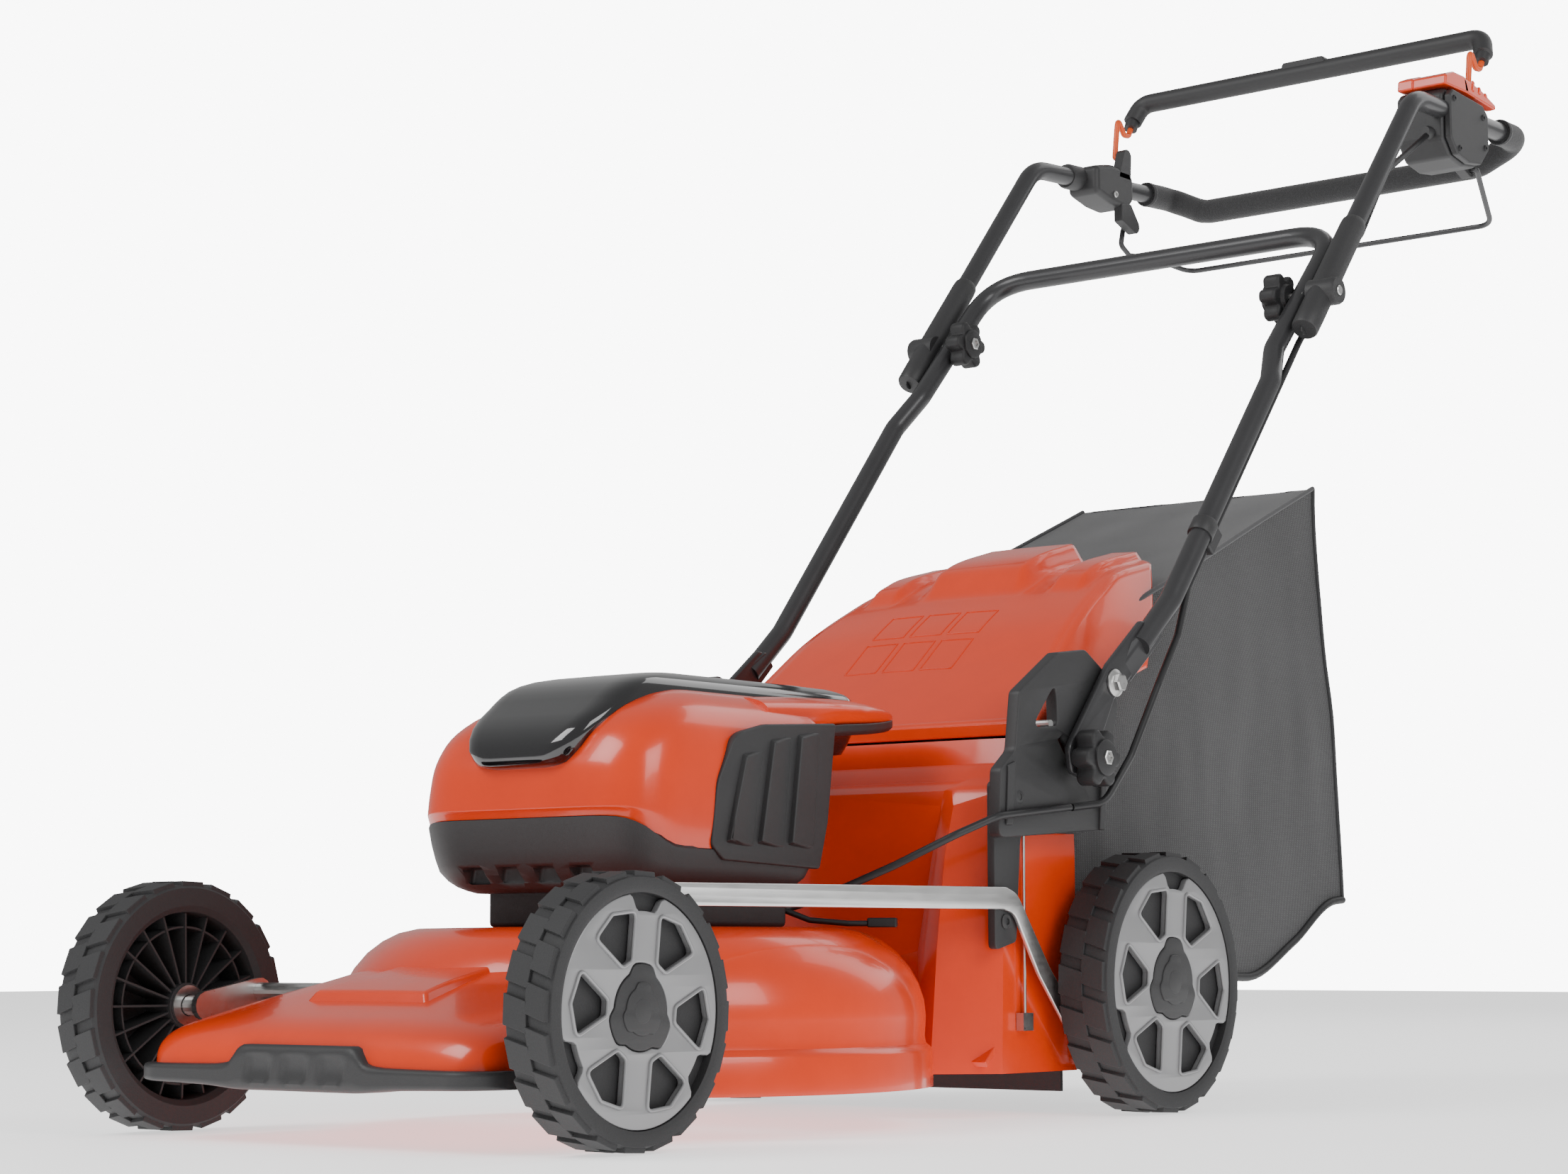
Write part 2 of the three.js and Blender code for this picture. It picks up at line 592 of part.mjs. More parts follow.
function linkBar() {
  const high = FRONT_CRANK.z + CRANK_PIN;
  const low = REAR_CRANK.z - CRANK_PIN;
  const strip = plateYZ([
    [FRONT_CRANK.y - 14, high - 9], [FRONT_CRANK.y - 14, high + 9], [-196, high + 13], [-176, high + 8],
    [-156, high - 12], [-122, high - 60], [REAR_CRANK.y + 6, low + 12], [REAR_CRANK.y + 10, low - 4],
    [REAR_CRANK.y - 2, low - 11], [-140, high - 66], [-174, high - 18], [-188, high - 5], [-200, high - 5],
  ], LINK_X - 2, LINK_X + 2);
  const rivet = rodX(7, LINK_X, LINK_X + 4.5, REAR_CRANK.y, low, 12);
  return strip.subtract(rodX(4.5, 200, 230, FRONT_CRANK.y, high, 14)).add(rivet);
}

const DRIVE_AXLE_RADIUS = 8.4;
const DRIVE_AXLE_HALF = WHEEL_FACE_X - 10.5;
const driveAxle = rodX(DRIVE_AXLE_RADIUS, -DRIVE_AXLE_HALF, DRIVE_AXLE_HALF, REAR_WHEEL.y, REAR_WHEEL.radius);

function driveGearbox() {
  const { y, radius: z } = REAR_WHEEL;
  const bore = rodX(DRIVE_AXLE_RADIUS + GAP, -80, 80, y, z, 20);
  return join(rodX(26, -46, 46, y, z, 20), rodX(15, -70, 70, y, z, 16)).subtract(bore);
}

add("front_axle", geometryOf(frontAxle()), STEEL);
add("rear_crank", geometryOf(rearCrank()), STEEL);
add("link_bar", geometryOf(linkBar()), STEEL);
add("drive_axle", geometryOf(driveAxle), STEEL);
add("drive_gearbox", geometryOf(driveGearbox()), BLACK);
add("trailing_shield", geometryOf(box(-186, 186, -57.5, -53.5, 20, 96)), BLACK);

// ---------- lower handle ----------
const LEG_KINK = { y: 62, z: 486 };      // where a leg bends into its straight run up to the crossbar

// A point on that straight run, measured down from the upper clamp stud and offset below the tube.
function alongLeg(distance, drop = 0) {
  const rise = UPPER_PIVOT.z - LEG_KINK.z;
  const run = UPPER_PIVOT.y - LEG_KINK.y;
  const length = Math.hypot(rise, run);
  return [
    UPPER_PIVOT.y - (run * distance - rise * drop) / length,
    UPPER_PIVOT.z - (rise * distance + run * drop) / length,
  ];
}

function lowerHandle() {
  const leg = side => [
    [side * (LOWER_TUBE_X - 1), 6, 438], [side * LOWER_TUBE_X, LEG_KINK.y, LEG_KINK.z],
    [side * LOWER_TUBE_X, ...alongLeg(135)], [side * LOWER_TOP_X, ...alongLeg(85)],
    [side * LOWER_TOP_X, CROSSBAR.y, CROSSBAR.z],
  ];
  const bow = tube(TUBE_RADIUS, [...leg(1), ...leg(-1).reverse()], 52, 10, 4);
  const foot = side => {
    const x = [side * 232, side * 239];
    const corners = [[-38, 384], [-24, 394], [24, 434], [34, 458], [14, 462], [-46, 418], [-116, 336],
      [-112, 312], [-90, 308], [-70, 330]];
    return hull(corners.flatMap(([y, z]) => x.map(xx => [xx, y, z])));
  };
  const bore = (p, radius) => rodX(radius, -300, 300, p.y, p.z, 18);
  return join(bow, foot(1), foot(-1)).subtract(bore(HANDLE_PIVOT, 5.4)).subtract(bore(LOWER_CLAMP, 4.4))
    .subtract(bore(UPPER_PIVOT, 4.4));
}
add("lower_handle", geometryOf(lowerHandle()), TUBE_PAINT);

// A knob with six finger grips round it, from x0 to x1.
function starKnob(centre, radius, x0, x1) {
  const outline = wheelPolar(36, angle => radius * (0.9 + 0.1 * Math.cos(6 * angle)))
    .map(([y, z]) => [centre.y + y, centre.z + z]);
  return plateYZ(outline, Math.min(x0, x1), Math.max(x0, x1));
}
for (const [name, side] of [["left", 1], ["right", -1]]) {
  const pivot = join(
    rodX(5, side * 213, side * 246, HANDLE_PIVOT.y, HANDLE_PIVOT.z, 16),
    rodX(13, side * 239.4, side * 242, HANDLE_PIVOT.y, HANDLE_PIVOT.z, 20),
    rodX(8.5, side * 241, side * 249, HANDLE_PIVOT.y, HANDLE_PIVOT.z, 6),
  );
  const lower = join(
    rodX(4, side * 208.5, side * 268, LOWER_CLAMP.y, LOWER_CLAMP.z, 12),
    starKnob(LOWER_CLAMP, 30, side * 241, side * 264),
  );
  const upper = join(
    rodX(4, side * 190, side * 276, UPPER_PIVOT.y, UPPER_PIVOT.z, 12),
    starKnob(UPPER_PIVOT, 29, side * 192, side * 215),
  );
  add(`handle_pivot_bolt_${name}`, geometryOf(pivot), STEEL);
  add(`lower_knob_${name}`, geometryOf(lower), BLACK);
  add(`upper_knob_${name}`, geometryOf(upper), BLACK);
}

// ---------- upper handle ----------
// Distances along the straight part of the upper tube are measured from the clamp stud.
const UPPER_LEAN = Math.atan2(1092 - UPPER_PIVOT.z, 571 - UPPER_PIVOT.y);
function alongUpper(distance, drop = 0) {
  return [
    UPPER_PIVOT.y + distance * Math.cos(UPPER_LEAN) + drop * Math.sin(UPPER_LEAN),
    UPPER_PIVOT.z + distance * Math.sin(UPPER_LEAN) - drop * Math.cos(UPPER_LEAN),
  ];
}
const SLEEVE = { low: -60, high: 116, radius: 14.5 };
const SHOULDER = { x: UPPER_TUBE_X, y: 572, z: 1093 };
const GRIP_TURN = { x: 240, y: 868, z: 1108 };
const GRIP_BAR = { x: 190, y: 864, z: 1084 };

function handleBow(radius, sides) {
  const side = s => [
    [s * UPPER_TUBE_X, ...alongUpper(SLEEVE.low + 8)], [s * SHOULDER.x, SHOULDER.y, SHOULDER.z],
    [s * GRIP_TURN.x, GRIP_TURN.y, GRIP_TURN.z], [s * GRIP_BAR.x, GRIP_BAR.y, GRIP_BAR.z],
  ];
  return tube(radius, [...side(1), ...side(-1).reverse()], 55, sides, 4);
}

// The foam lies over the loop at the back, from one side run to the other.
function gripFoam() {
  const k = 0.2;
  const start = [SHOULDER, GRIP_TURN].map(p => [p.x, p.y, p.z]);
  const begin = start[0].map((v, i) => v * k + start[1][i] * (1 - k));
  const side = s => [
    [s * begin[0], begin[1], begin[2]], [s * GRIP_TURN.x, GRIP_TURN.y, GRIP_TURN.z],
    [s * GRIP_BAR.x, GRIP_BAR.y, GRIP_BAR.z],
  ];
  return tube(15, [...side(1), ...side(-1).reverse()], 55, 10, 4).subtract(handleBow(TUBE_RADIUS + GAP, 10));
}

// A plastic sleeve that closes the end of the upper tube and carries the clamp stud.
function handleSleeve(side) {
  const end = distance => [side * UPPER_TUBE_X, ...alongUpper(distance)];
  const body = tube(SLEEVE.radius, [end(SLEEVE.low), end(SLEEVE.high)], 1, 14);
  const boss = rodX(15, side * (UPPER_TUBE_X - 12), side * 275, UPPER_PIVOT.y, UPPER_PIVOT.z, 20);
  const bore = tube(TUBE_RADIUS + GAP, [end(SLEEVE.low + 7.5), end(SLEEVE.high + 5)], 1, 16);
  const studHole = rodX(4.4, side * 230, side * 290, UPPER_PIVOT.y, UPPER_PIVOT.z, 14);
  return body.add(boss).subtract(bore).subtract(studHole);
}

add("upper_handle", geometryOf(handleBow(TUBE_RADIUS, 10)
  .subtract(rodX(4.4, -300, 300, UPPER_PIVOT.y, UPPER_PIVOT.z, 14))), TUBE_PAINT);
add("grip_foam", geometryOf(gripFoam()), BLACK);
for (const [name, side] of [["left", 1], ["right", -1]]) {
  add(`handle_sleeve_${name}`, geometryOf(handleSleeve(side)), CHARCOAL);
}

// ---------- controls ----------
const BAIL_PIVOT = { y: 735, z: 1136 };
const DRIVE_PIVOT = { y: 752, z: 1050 };
const BOX = { x0: 198, x1: 264, y0: 640, y1: 742, z0: 1038, z1: 1122 };
const WIRE_X = 241;

// Lugs that carry the ends of the two wire bails, on the inner side of a control housing.
function bailLugs(side) {
  const x = [side * 222, side * 234];
  const plate = corners => hull(corners.flatMap(([y, z]) => x.map(xx => [xx, y, z])));
  const round = p => wheelPolar(12, () => 9).map(([y, z]) => [p.y + y, p.z + z]);
  return plate([...round(BAIL_PIVOT), [716, 1108], [741, 1108]])
    .add(plate([...round(DRIVE_PIVOT), [722, 1072], [722, 1052], [741, 1074]]));
}
const lugBores = side => join(
  rodX(4.4, side * 226, side * 250, BAIL_PIVOT.y, BAIL_PIVOT.z, 12),
  rodX(3.8, side * 226, side * 250, DRIVE_PIVOT.y, DRIVE_PIVOT.z, 12),
);

function controlBox() {
  const shape = hull([BOX.x0, BOX.x1].flatMap(x => [
    [x, BOX.y0, BOX.z0 + 24], [x, BOX.y0 + 18, BOX.z0 + 5], [x, BOX.y0 + 50, BOX.z0],
    [x, BOX.y1 - 22, BOX.z0 + 4], [x, BOX.y1, BOX.z0 + 26], [x, BOX.y1, BOX.z1 - 14],
    [x, BOX.y1 - 14, BOX.z1 - 4], [x, BOX.y0 + 8, BOX.z1],
    [x, BOX.y0, BOX.z1 - 8],
  ]));
  return shape.add(bailLugs(1)).subtract(handleBow(TUBE_RADIUS + GAP, 10)).subtract(lugBores(1));
}

function bailBracket() {
  const sleeve = hull([-266, -222].flatMap(x => [
    [x, 664, 1078], [x, 664, 1112], [x, 700, 1120], [x, 741, 1120], [x, 750, 1108], [x, 750, 1080],
    [x, 734, 1068], [x, 700, 1070],
  ]));
  return sleeve.add(bailLugs(-1)).subtract(handleBow(TUBE_RADIUS + GAP, 10)).subtract(lugBores(-1));
}
add("control_box", geometryOf(controlBox()), CHARCOAL);
add("bail_bracket", geometryOf(bailBracket()), CHARCOAL);

// Orange start lever, which rocks on top of the control box.
const block = (x0, x1, corners) => hull([x0, x1].flatMap(x => corners.map(([y, z]) => [x, y, z])));
const startLever = join(
  block(BOX.x0 + 2, 220, [[638, 1123], [640, 1136], [660, 1143], [694, 1143], [704, 1123]]),
  block(219, BOX.x1 - 3, [[638, 1123], [640, 1136], [660, 1143], [690, 1143], [700, 1123]]),
  block(250, BOX.x1 - 3, [[690, 1123], [684, 1142], [728, 1136], [766, 1124], [766, 1118], [742, 1123]]),
);
add("start_lever", geometryOf(startLever), ORANGE);

// Orange wire bail: two cranked arms joined by a bar, which is covered in black plastic.
const BAIL_BAR = { y: 790, z: 1216 };
const bailEnd = s => [
  [s * 229, BAIL_PIVOT.y, BAIL_PIVOT.z], [s * WIRE_X, BAIL_PIVOT.y, BAIL_PIVOT.z, 4],
  [s * WIRE_X, 743, 1190, 5], [s * WIRE_X, 757, 1171, 4], [s * WIRE_X, 768, 1172, 4],
];
const bailCorner = s => [s * WIRE_X, BAIL_BAR.y, BAIL_BAR.z, 15];
const coverStart = (s, k) => bailEnd(s)[4].slice(0, 3).map((v, i) => v + (bailCorner(s)[i] - v) * k);
const bailWire = tube(3.5, [...bailEnd(1), bailCorner(1), bailCorner(-1), ...bailEnd(-1).reverse()], 5, 6, 3);
const coverPath = k => [coverStart(1, k), bailCorner(1), bailCorner(-1), coverStart(-1, k)];
const bailCover = tube(11.5, coverPath(0.3), 5, 10, 3)
  .add(box(-30, 30, BAIL_BAR.y - 9, BAIL_BAR.y + 9, BAIL_BAR.z + 5, BAIL_BAR.z + 16))
  .subtract(tube(4.1, coverPath(0.2), 5, 6, 3));
add("bail_wire", geometryOf(bailWire), ORANGE);
add("bail_cover", geometryOf(bailCover), CHARCOAL);

// Steel wire bail that engages the wheel drive, hung under the two control housings.
const DRIVE_BAR = { x: 208, y: 856, z: 1008 };
const driveBail = tube(3.2, [
  [228.5, DRIVE_PIVOT.y, DRIVE_PIVOT.z], [WIRE_X, DRIVE_PIVOT.y, DRIVE_PIVOT.z, 5],
  [DRIVE_BAR.x, DRIVE_BAR.y, DRIVE_BAR.z, 20], [-DRIVE_BAR.x, DRIVE_BAR.y, DRIVE_BAR.z, 20],
  [-232, 800, 1020, 10], [-WIRE_X, 766, 1018, 8], [-WIRE_X, 746, 1028, 6],
  [-WIRE_X, DRIVE_PIVOT.y, DRIVE_PIVOT.z, 5], [-228.5, DRIVE_PIVOT.y, DRIVE_PIVOT.z],
], 5, 6, 3);
add("drive_bail", geometryOf(driveBail), TUBE_PAINT);

// ---------- grass bag ----------
const BAG_FRONT = -42;
function bagSolid(inset, front) {
  const waist = [
    [190 - inset, front, 336], [190 - inset, 150, 336], [174 - inset, 470 - inset, 336],
    [150 - inset, 505 - inset, 336],
  ];
  const upper = hull(mirrored([
    ...waist, [166 - inset, 52, 424 - inset], [136 - inset, 106, 486 - inset],
    [150 - inset, 512 - inset, 656 - inset], [156 - inset, 300, 568 - inset],
  ]));
  const lower = hull(mirrored([
    ...waist, [190 - inset, front, 172 + inset], [186 - inset, 70, 150 + inset],
    [186 - inset, 290, 124 + inset], [180 - inset, 494 - inset, 204 + inset],
    [160 - inset, 518 - inset, 204 + inset],
  ]));
  return upper.add(lower);
}
const bag = bagSolid(0, BAG_FRONT).subtract(bagSolid(4, BAG_FRONT - 5));

// Wire hoop that holds the mouth of the bag open, bent back over the top.
const halfHoop = tube(4, [
  [-0.5, -34, 182], [180, -34, 182], [180, -34, 325], [156, 50, 404], [-0.5, 50, 404],
], 14, 8, 3);
add("bag_fabric", geometryOf(bag), FABRIC);
add("bag_frame", geometryOf(halfHoop.add(halfHoop.mirror([1, 0, 0]))), STEEL);

// ---------- cables ----------
const CABLE_RADIUS = 3.5;
const CABLE_DROP = TUBE_RADIUS + CABLE_RADIUS + 1;
const CABLE_X = LOWER_TUBE_X;
const cableRuns = {
  cable_upper: [
    [238, BOX.y0 - 3, 1068], [CABLE_X, 616, 1056], [250, ...alongUpper(228, CABLE_DROP)],
    [252, ...alongUpper(150, CABLE_DROP + 2)],
  ],
  cable_loop_upper: [
    [252, ...alongUpper(149.5, CABLE_DROP + 2)], [250, ...alongUpper(122, CABLE_DROP + 6)],
    [234, ...alongUpper(90, CABLE_DROP + 6)], [CABLE_X, ...alongLeg(20, CABLE_DROP + 3)],
    [CABLE_X, ...alongLeg(59.5, CABLE_DROP)],
  ],
  cable_lower: [[CABLE_X, ...alongLeg(60, CABLE_DROP)], [CABLE_X, ...alongLeg(420, CABLE_DROP)]],
  cable_loop_lower: [
    [CABLE_X, ...alongLeg(420.5, CABLE_DROP)], [248, 62, 452], [257, 10, 400], [257, -40, 330],
    [244, -66, 286], [233, -104, 281],
  ],
  motor_cable: [
    [233, -108, 281], [234, -226, 269], [214, -262, 252], [170, -294, 225], [120, -330, 198],
    [88, -344, 187], [88, -368, 186],
  ],
};
for (const [name, corners] of Object.entries(cableRuns)) {
  add(name, geometryOf(tube(CABLE_RADIUS, corners, 14, 6, 3)), BLACK);
}
const driveCable = tube(1.5, [[209.7, -150, 257], [209.7, -150, 92]], 5, 8)
  .add(box(205.5, 213.5, -158, -142, 78, 94));
add("drive_cable", geometryOf(driveCable), STEEL);

export default mower;
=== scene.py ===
"""Battery push lawn mower: visible pieces, materials, light and camera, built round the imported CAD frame.

Lengths are in millimetres in the frame's axes (+X the mower's left, -Y its front, +Z up) and are turned
into metres where a mesh is made.
"""
import json
import math

import bmesh
import bpy
from mathutils import Matrix, Vector, noise


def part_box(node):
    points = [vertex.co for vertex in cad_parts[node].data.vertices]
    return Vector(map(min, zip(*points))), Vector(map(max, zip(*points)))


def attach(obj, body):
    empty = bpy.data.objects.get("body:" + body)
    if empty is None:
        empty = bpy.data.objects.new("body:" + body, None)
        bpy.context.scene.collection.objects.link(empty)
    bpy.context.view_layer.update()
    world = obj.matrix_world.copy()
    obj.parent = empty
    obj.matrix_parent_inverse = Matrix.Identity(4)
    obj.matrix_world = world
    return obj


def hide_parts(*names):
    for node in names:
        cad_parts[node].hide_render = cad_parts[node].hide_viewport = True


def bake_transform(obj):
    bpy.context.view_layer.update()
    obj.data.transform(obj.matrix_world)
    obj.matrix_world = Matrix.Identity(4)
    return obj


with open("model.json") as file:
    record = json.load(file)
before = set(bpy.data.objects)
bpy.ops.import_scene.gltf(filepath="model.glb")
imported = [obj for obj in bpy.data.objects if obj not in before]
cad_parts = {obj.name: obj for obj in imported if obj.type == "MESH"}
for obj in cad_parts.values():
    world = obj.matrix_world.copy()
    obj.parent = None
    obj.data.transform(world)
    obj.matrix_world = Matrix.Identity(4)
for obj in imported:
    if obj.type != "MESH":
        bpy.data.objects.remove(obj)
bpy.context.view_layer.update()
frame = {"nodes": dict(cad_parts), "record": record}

MM = 0.001
LEFT, RIGHT = 1, -1
SIDES = (("left", LEFT), ("right", RIGHT))


def node_box(node):
    """Lowest and highest corner of a CAD node, in millimetres."""
    low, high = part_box(node)
    return [v / MM for v in low], [v / MM for v in high]


# ---------- camera ----------
# The camera's place is in metres; its lens and sensor are in millimetres.
CAMERA_PLACE = Vector((1.8307, -2.5430, 0.1467))
CAMERA_TURN = (math.radians(96.66), math.radians(0.09), math.radians(38.45))
CAMERA_LENS = 72.3
SENSOR_WIDTH = 36


def new_object(name, data):
    """An object in the scene, round a mesh, curve, lamp or camera."""
    made = bpy.data.objects.new(name, data)
    bpy.context.scene.collection.objects.link(made)
    return made


def add_camera():
    """The camera stands low, in front of the mower on its left."""
    data = bpy.data.cameras.new("camera")
    data.lens = CAMERA_LENS
    data.sensor_width = SENSOR_WIDTH
    camera = new_object("camera", data)
    camera.location = CAMERA_PLACE
    camera.rotation_euler = CAMERA_TURN
    bpy.context.scene.camera = camera


# ---------- materials ----------
def new_material(name, color, roughness, metallic=0.0, **sockets):
    """A principled material; sockets are further shader inputs, such as coat_weight=1."""
    material = bpy.data.materials.new(name)
    material.use_nodes = True
    shader = material.node_tree.nodes["Principled BSDF"]
    shader.inputs["Base Color"].default_value = (*color, 1)
    shader.inputs["Roughness"].default_value = roughness
    shader.inputs["Metallic"].default_value = metallic
    for socket, value in sockets.items():
        shader.inputs[socket.replace("_", " ").title().replace("Ior", "IOR")].default_value = value
    return material, shader


def texture(material, kind, scale, stretch=(1, 1, 1), **settings):
    """A procedural texture in object coordinates, scale in repeats per metre."""
    nodes, links = material.node_tree.nodes, material.node_tree.links
    coordinates = nodes.new("ShaderNodeTexCoord")
    mapping = nodes.new("ShaderNodeMapping")
    mapping.inputs["Scale"].default_value = stretch
    pattern = nodes.new(kind)
    pattern.inputs["Scale"].default_value = scale
    for socket, value in settings.items():
        pattern.inputs[socket.title()].default_value = value
    links.new(coordinates.outputs["Object"], mapping.inputs["Vector"])
    links.new(mapping.outputs["Vector"], pattern.inputs["Vector"])
    return pattern


def vary_color(material, shader, source, dark, light):
    """Colour runs from dark to light with the texture."""
    ramp = material.node_tree.nodes.new("ShaderNodeMix")
    ramp.data_type = "RGBA"
    ramp.inputs["A"].default_value = (*dark, 1)
    ramp.inputs["B"].default_value = (*light, 1)
    material.node_tree.links.new(source, ramp.inputs["Factor"])
    material.node_tree.links.new(ramp.outputs["Result"], shader.inputs["Base Color"])


def vary_roughness(material, shader, source, low, high):
    """Roughness runs from low to high with the texture."""
    spread = material.node_tree.nodes.new("ShaderNodeMapRange")
    spread.inputs["To Min"].default_value = low
    spread.inputs["To Max"].default_value = high
    material.node_tree.links.new(source, spread.inputs["Value"])
    material.node_tree.links.new(spread.outputs["Result"], shader.inputs["Roughness"])


def add_bump(material, shader, source, depth_mm):
    """The texture raises the surface by up to the depth."""
    bump = material.node_tree.nodes.new("ShaderNodeBump")
    bump.inputs["Distance"].default_value = depth_mm * MM
    bump.inputs["Strength"].default_value = 1.0
    material.node_tree.links.new(source, bump.inputs["Height"])
    material.node_tree.links.new(bump.outputs["Normal"], shader.inputs["Normal"])


def scaled(color, factor):
    """A darker or lighter version of a colour."""
    return tuple(c * factor for c in color)


def moulded(name, color, roughness, grain, depth, **sockets):
    """Moulded plastic or rubber: fine grain, and slow changes in shade and gloss."""
    material, shader = new_material(name, color, roughness, **sockets)
    fine = texture(material, "ShaderNodeTexNoise", grain, detail=3)
    slow = texture(material, "ShaderNodeTexNoise", 14, detail=4)
    vary_color(material, shader, slow.outputs["Fac"], scaled(color, 0.86), scaled(color, 1.14))
    vary_roughness(material, shader, slow.outputs["Fac"], roughness * 0.88, min(1, roughness * 1.12))
    add_bump(material, shader, fine.outputs["Fac"], depth)
    return material


def painted(name, color, roughness, metallic, peel_depth, **sockets):
    """Paint or powder coat, with faint orange peel and dust."""
    material, shader = new_material(name, color, roughness, metallic, **sockets)
    peel = texture(material, "ShaderNodeTexNoise", 420, detail=2)
    dust = texture(material, "ShaderNodeTexNoise", 30, detail=6)
    vary_color(material, shader, dust.outputs["Fac"], scaled(color, 0.94), scaled(color, 1.05))
    vary_roughness(material, shader, dust.outputs["Fac"], roughness * 0.8, roughness * 1.25)
    add_bump(material, shader, peel.outputs["Fac"], peel_depth)
    return material


def bare_metal(name, color, roughness, stretch):
    """Plated or brushed metal with drawing marks along one axis."""
    material, shader = new_material(name, color, roughness, 1.0)
    marks = texture(material, "ShaderNodeTexNoise", 260, stretch, detail=4)
    stains = texture(material, "ShaderNodeTexNoise", 22, detail=5)
    vary_color(material, shader, stains.outputs["Fac"], scaled(color, 0.85), scaled(color, 1.1))
    vary_roughness(material, shader, marks.outputs["Fac"], roughness * 0.7, roughness * 1.4)
    add_bump(material, shader, marks.outputs["Fac"], 0.05)
    return material


def foam(name, color):
    """Soft foam with small open cells: colour painted darker in each cell's pit as shade and lighter on its
    walls as light.
    """
    material, shader = new_material(name, color, 0.92, sheen_weight=0.25)
    cells = texture(material, "ShaderNodeTexVoronoi", 650)
    # Painted shade and light: colour darkens in each cell's pit, where the bump sinks, and lightens on the
    # raised cell walls.
    vary_color(material, shader, cells.outputs["Distance"], scaled(color, 0.7), scaled(color, 1.5))
    add_bump(material, shader, cells.outputs["Distance"], 0.35)
    return material


def woven(name, color, thread_mm, directions):
    """Open weave: threads along two directions, with the gaps between them painted dark as the shade seen
    through the open weave.
    """
    material, shader = new_material(name, color, 0.85, sheen_weight=0.3)
    nodes, links = material.node_tree.nodes, material.node_tree.links
    repeats = 2 * math.pi / 20 / (thread_mm * MM)
    weave = nodes.new("ShaderNodeMath")
    weave.operation = "MAXIMUM"
    for index, direction in enumerate(directions):
        threads = texture(material, "ShaderNodeTexWave", repeats, detail=1, distortion=0.4)
        threads.bands_direction = direction
        links.new(threads.outputs["Fac"], weave.inputs[index])
    slow = texture(material, "ShaderNodeTexNoise", 9, detail=5)
    shade = nodes.new("ShaderNodeMath")
    shade.operation = "MULTIPLY"
    links.new(weave.outputs["Value"], shade.inputs[0])
    links.new(slow.outputs["Fac"], shade.inputs[1])
    # Painted shade: the gaps between the threads are darkened as the shade seen through the open weave; the
    # slow noise adds tone that differs at random.
    vary_color(material, shader, shade.outputs["Value"], scaled(color, 0.35), scaled(color, 2.1))
    add_bump(material, shader, weave.outputs["Value"], 0.4)
    return material


ORANGE = (0.78, 0.044, 0.0006)
BAG_BLACK = (0.018, 0.018, 0.019)
BAG_THREAD = 2.2
MATERIALS = {
    "orange_gloss": painted("orange_gloss", ORANGE, 0.24, 0.0, 0.010, coat_weight=0.35,
                            coat_roughness=0.06),
    "charcoal_plastic": moulded("charcoal_plastic", (0.028, 0.028, 0.029), 0.5, 1500, 0.09),
    "black_plastic": moulded("black_plastic", (0.014, 0.014, 0.015), 0.55, 1300, 0.10),
    "gloss_black": painted("gloss_black", (0.007, 0.007, 0.008), 0.10, 0.0, 0.006, coat_weight=1.0,
                           coat_roughness=0.04),
    "tyre_rubber": moulded("tyre_rubber", (0.026, 0.026, 0.027), 0.66, 700, 0.16),
    "wheel_silver": painted("wheel_silver", (0.29, 0.29, 0.295), 0.36, 0.3, 0.010),
    "cast_metal": moulded("cast_metal", (0.09, 0.09, 0.095), 0.55, 420, 0.30, metallic=0.8),
    "motor_metal": bare_metal("motor_metal", (0.42, 0.42, 0.43), 0.4, (1, 1, 8)),
    "steel": bare_metal("steel", (0.58, 0.58, 0.57), 0.3, (0.3, 1, 1)),
    "zinc_bar": bare_metal("zinc_bar", (0.83, 0.83, 0.82), 0.34, (1, 0.15, 1)),
    "handle_paint": painted("handle_paint", (0.040, 0.040, 0.042), 0.36, 0.3, 0.018, coat_weight=0.2),
    "orange_wire": painted("orange_wire", (0.80, 0.095, 0.010), 0.35, 0.0, 0.02),
    # The grip foam has painted shade in its cell pits and painted light on the cell walls.
    "grip_foam": foam("grip_foam", (0.022, 0.022, 0.023)),
    # The bag's weave has the gaps between its threads painted dark as shade.
    "bag_fabric": woven("bag_fabric", BAG_BLACK, BAG_THREAD, ("Y", "Z")),
    "bag_rear": woven("bag_rear", BAG_BLACK, BAG_THREAD, ("X", "Z")),
    "bag_top": moulded("bag_top", (0.026, 0.026, 0.028), 0.7, 900, 0.15, sheen_weight=0.3),
    "cable_jacket": moulded("cable_jacket", (0.012, 0.012, 0.013), 0.45, 900, 0.04),
}


# ---------- meshes ----------
def shade(mesh, sharp_degrees):
    """Smooth shading; edges sharper than the angle stay crisp."""
    mesh.shade_smooth()
    mesh.set_sharp_from_angle(angle=math.radians(sharp_degrees))


def mesh_object(name, vertices, faces, sharp_degrees=38):
    """A smooth-shaded object from millimetre coordinates."""
    mesh = bpy.data.meshes.new(name)
    mesh.from_pydata([Vector(v) * MM for v in vertices], [], faces)
    mesh.validate()
    build = bmesh.new()
    build.from_mesh(mesh)
    bmesh.ops.remove_doubles(build, verts=build.verts, dist=1e-6)
    bmesh.ops.recalc_face_normals(build, faces=build.faces)
    build.to_mesh(mesh)
    build.free()
    shade(mesh, sharp_degrees)
    return new_object(name, mesh)


def place(made, body, slot, material=None):
    """Gives a piece its material and makes it ride on a CAD body."""
    made.data.materials.clear()
    made.data.materials.append(MATERIALS[material or slot])
    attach(made, body)
    return made


def stand_in(made, node, body, slot):
    """Shows a piece in place of a CAD node, on a body and in a slot's material."""
    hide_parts(node)
    return place(made, body, slot)


def add_modifier(made, kind, **settings):
    """Adds a modifier of a kind, with the settings given by name."""
    modifier = made.modifiers.new(kind.lower(), kind)
    for name, value in settings.items():
        setattr(modifier, name, value)
    return made


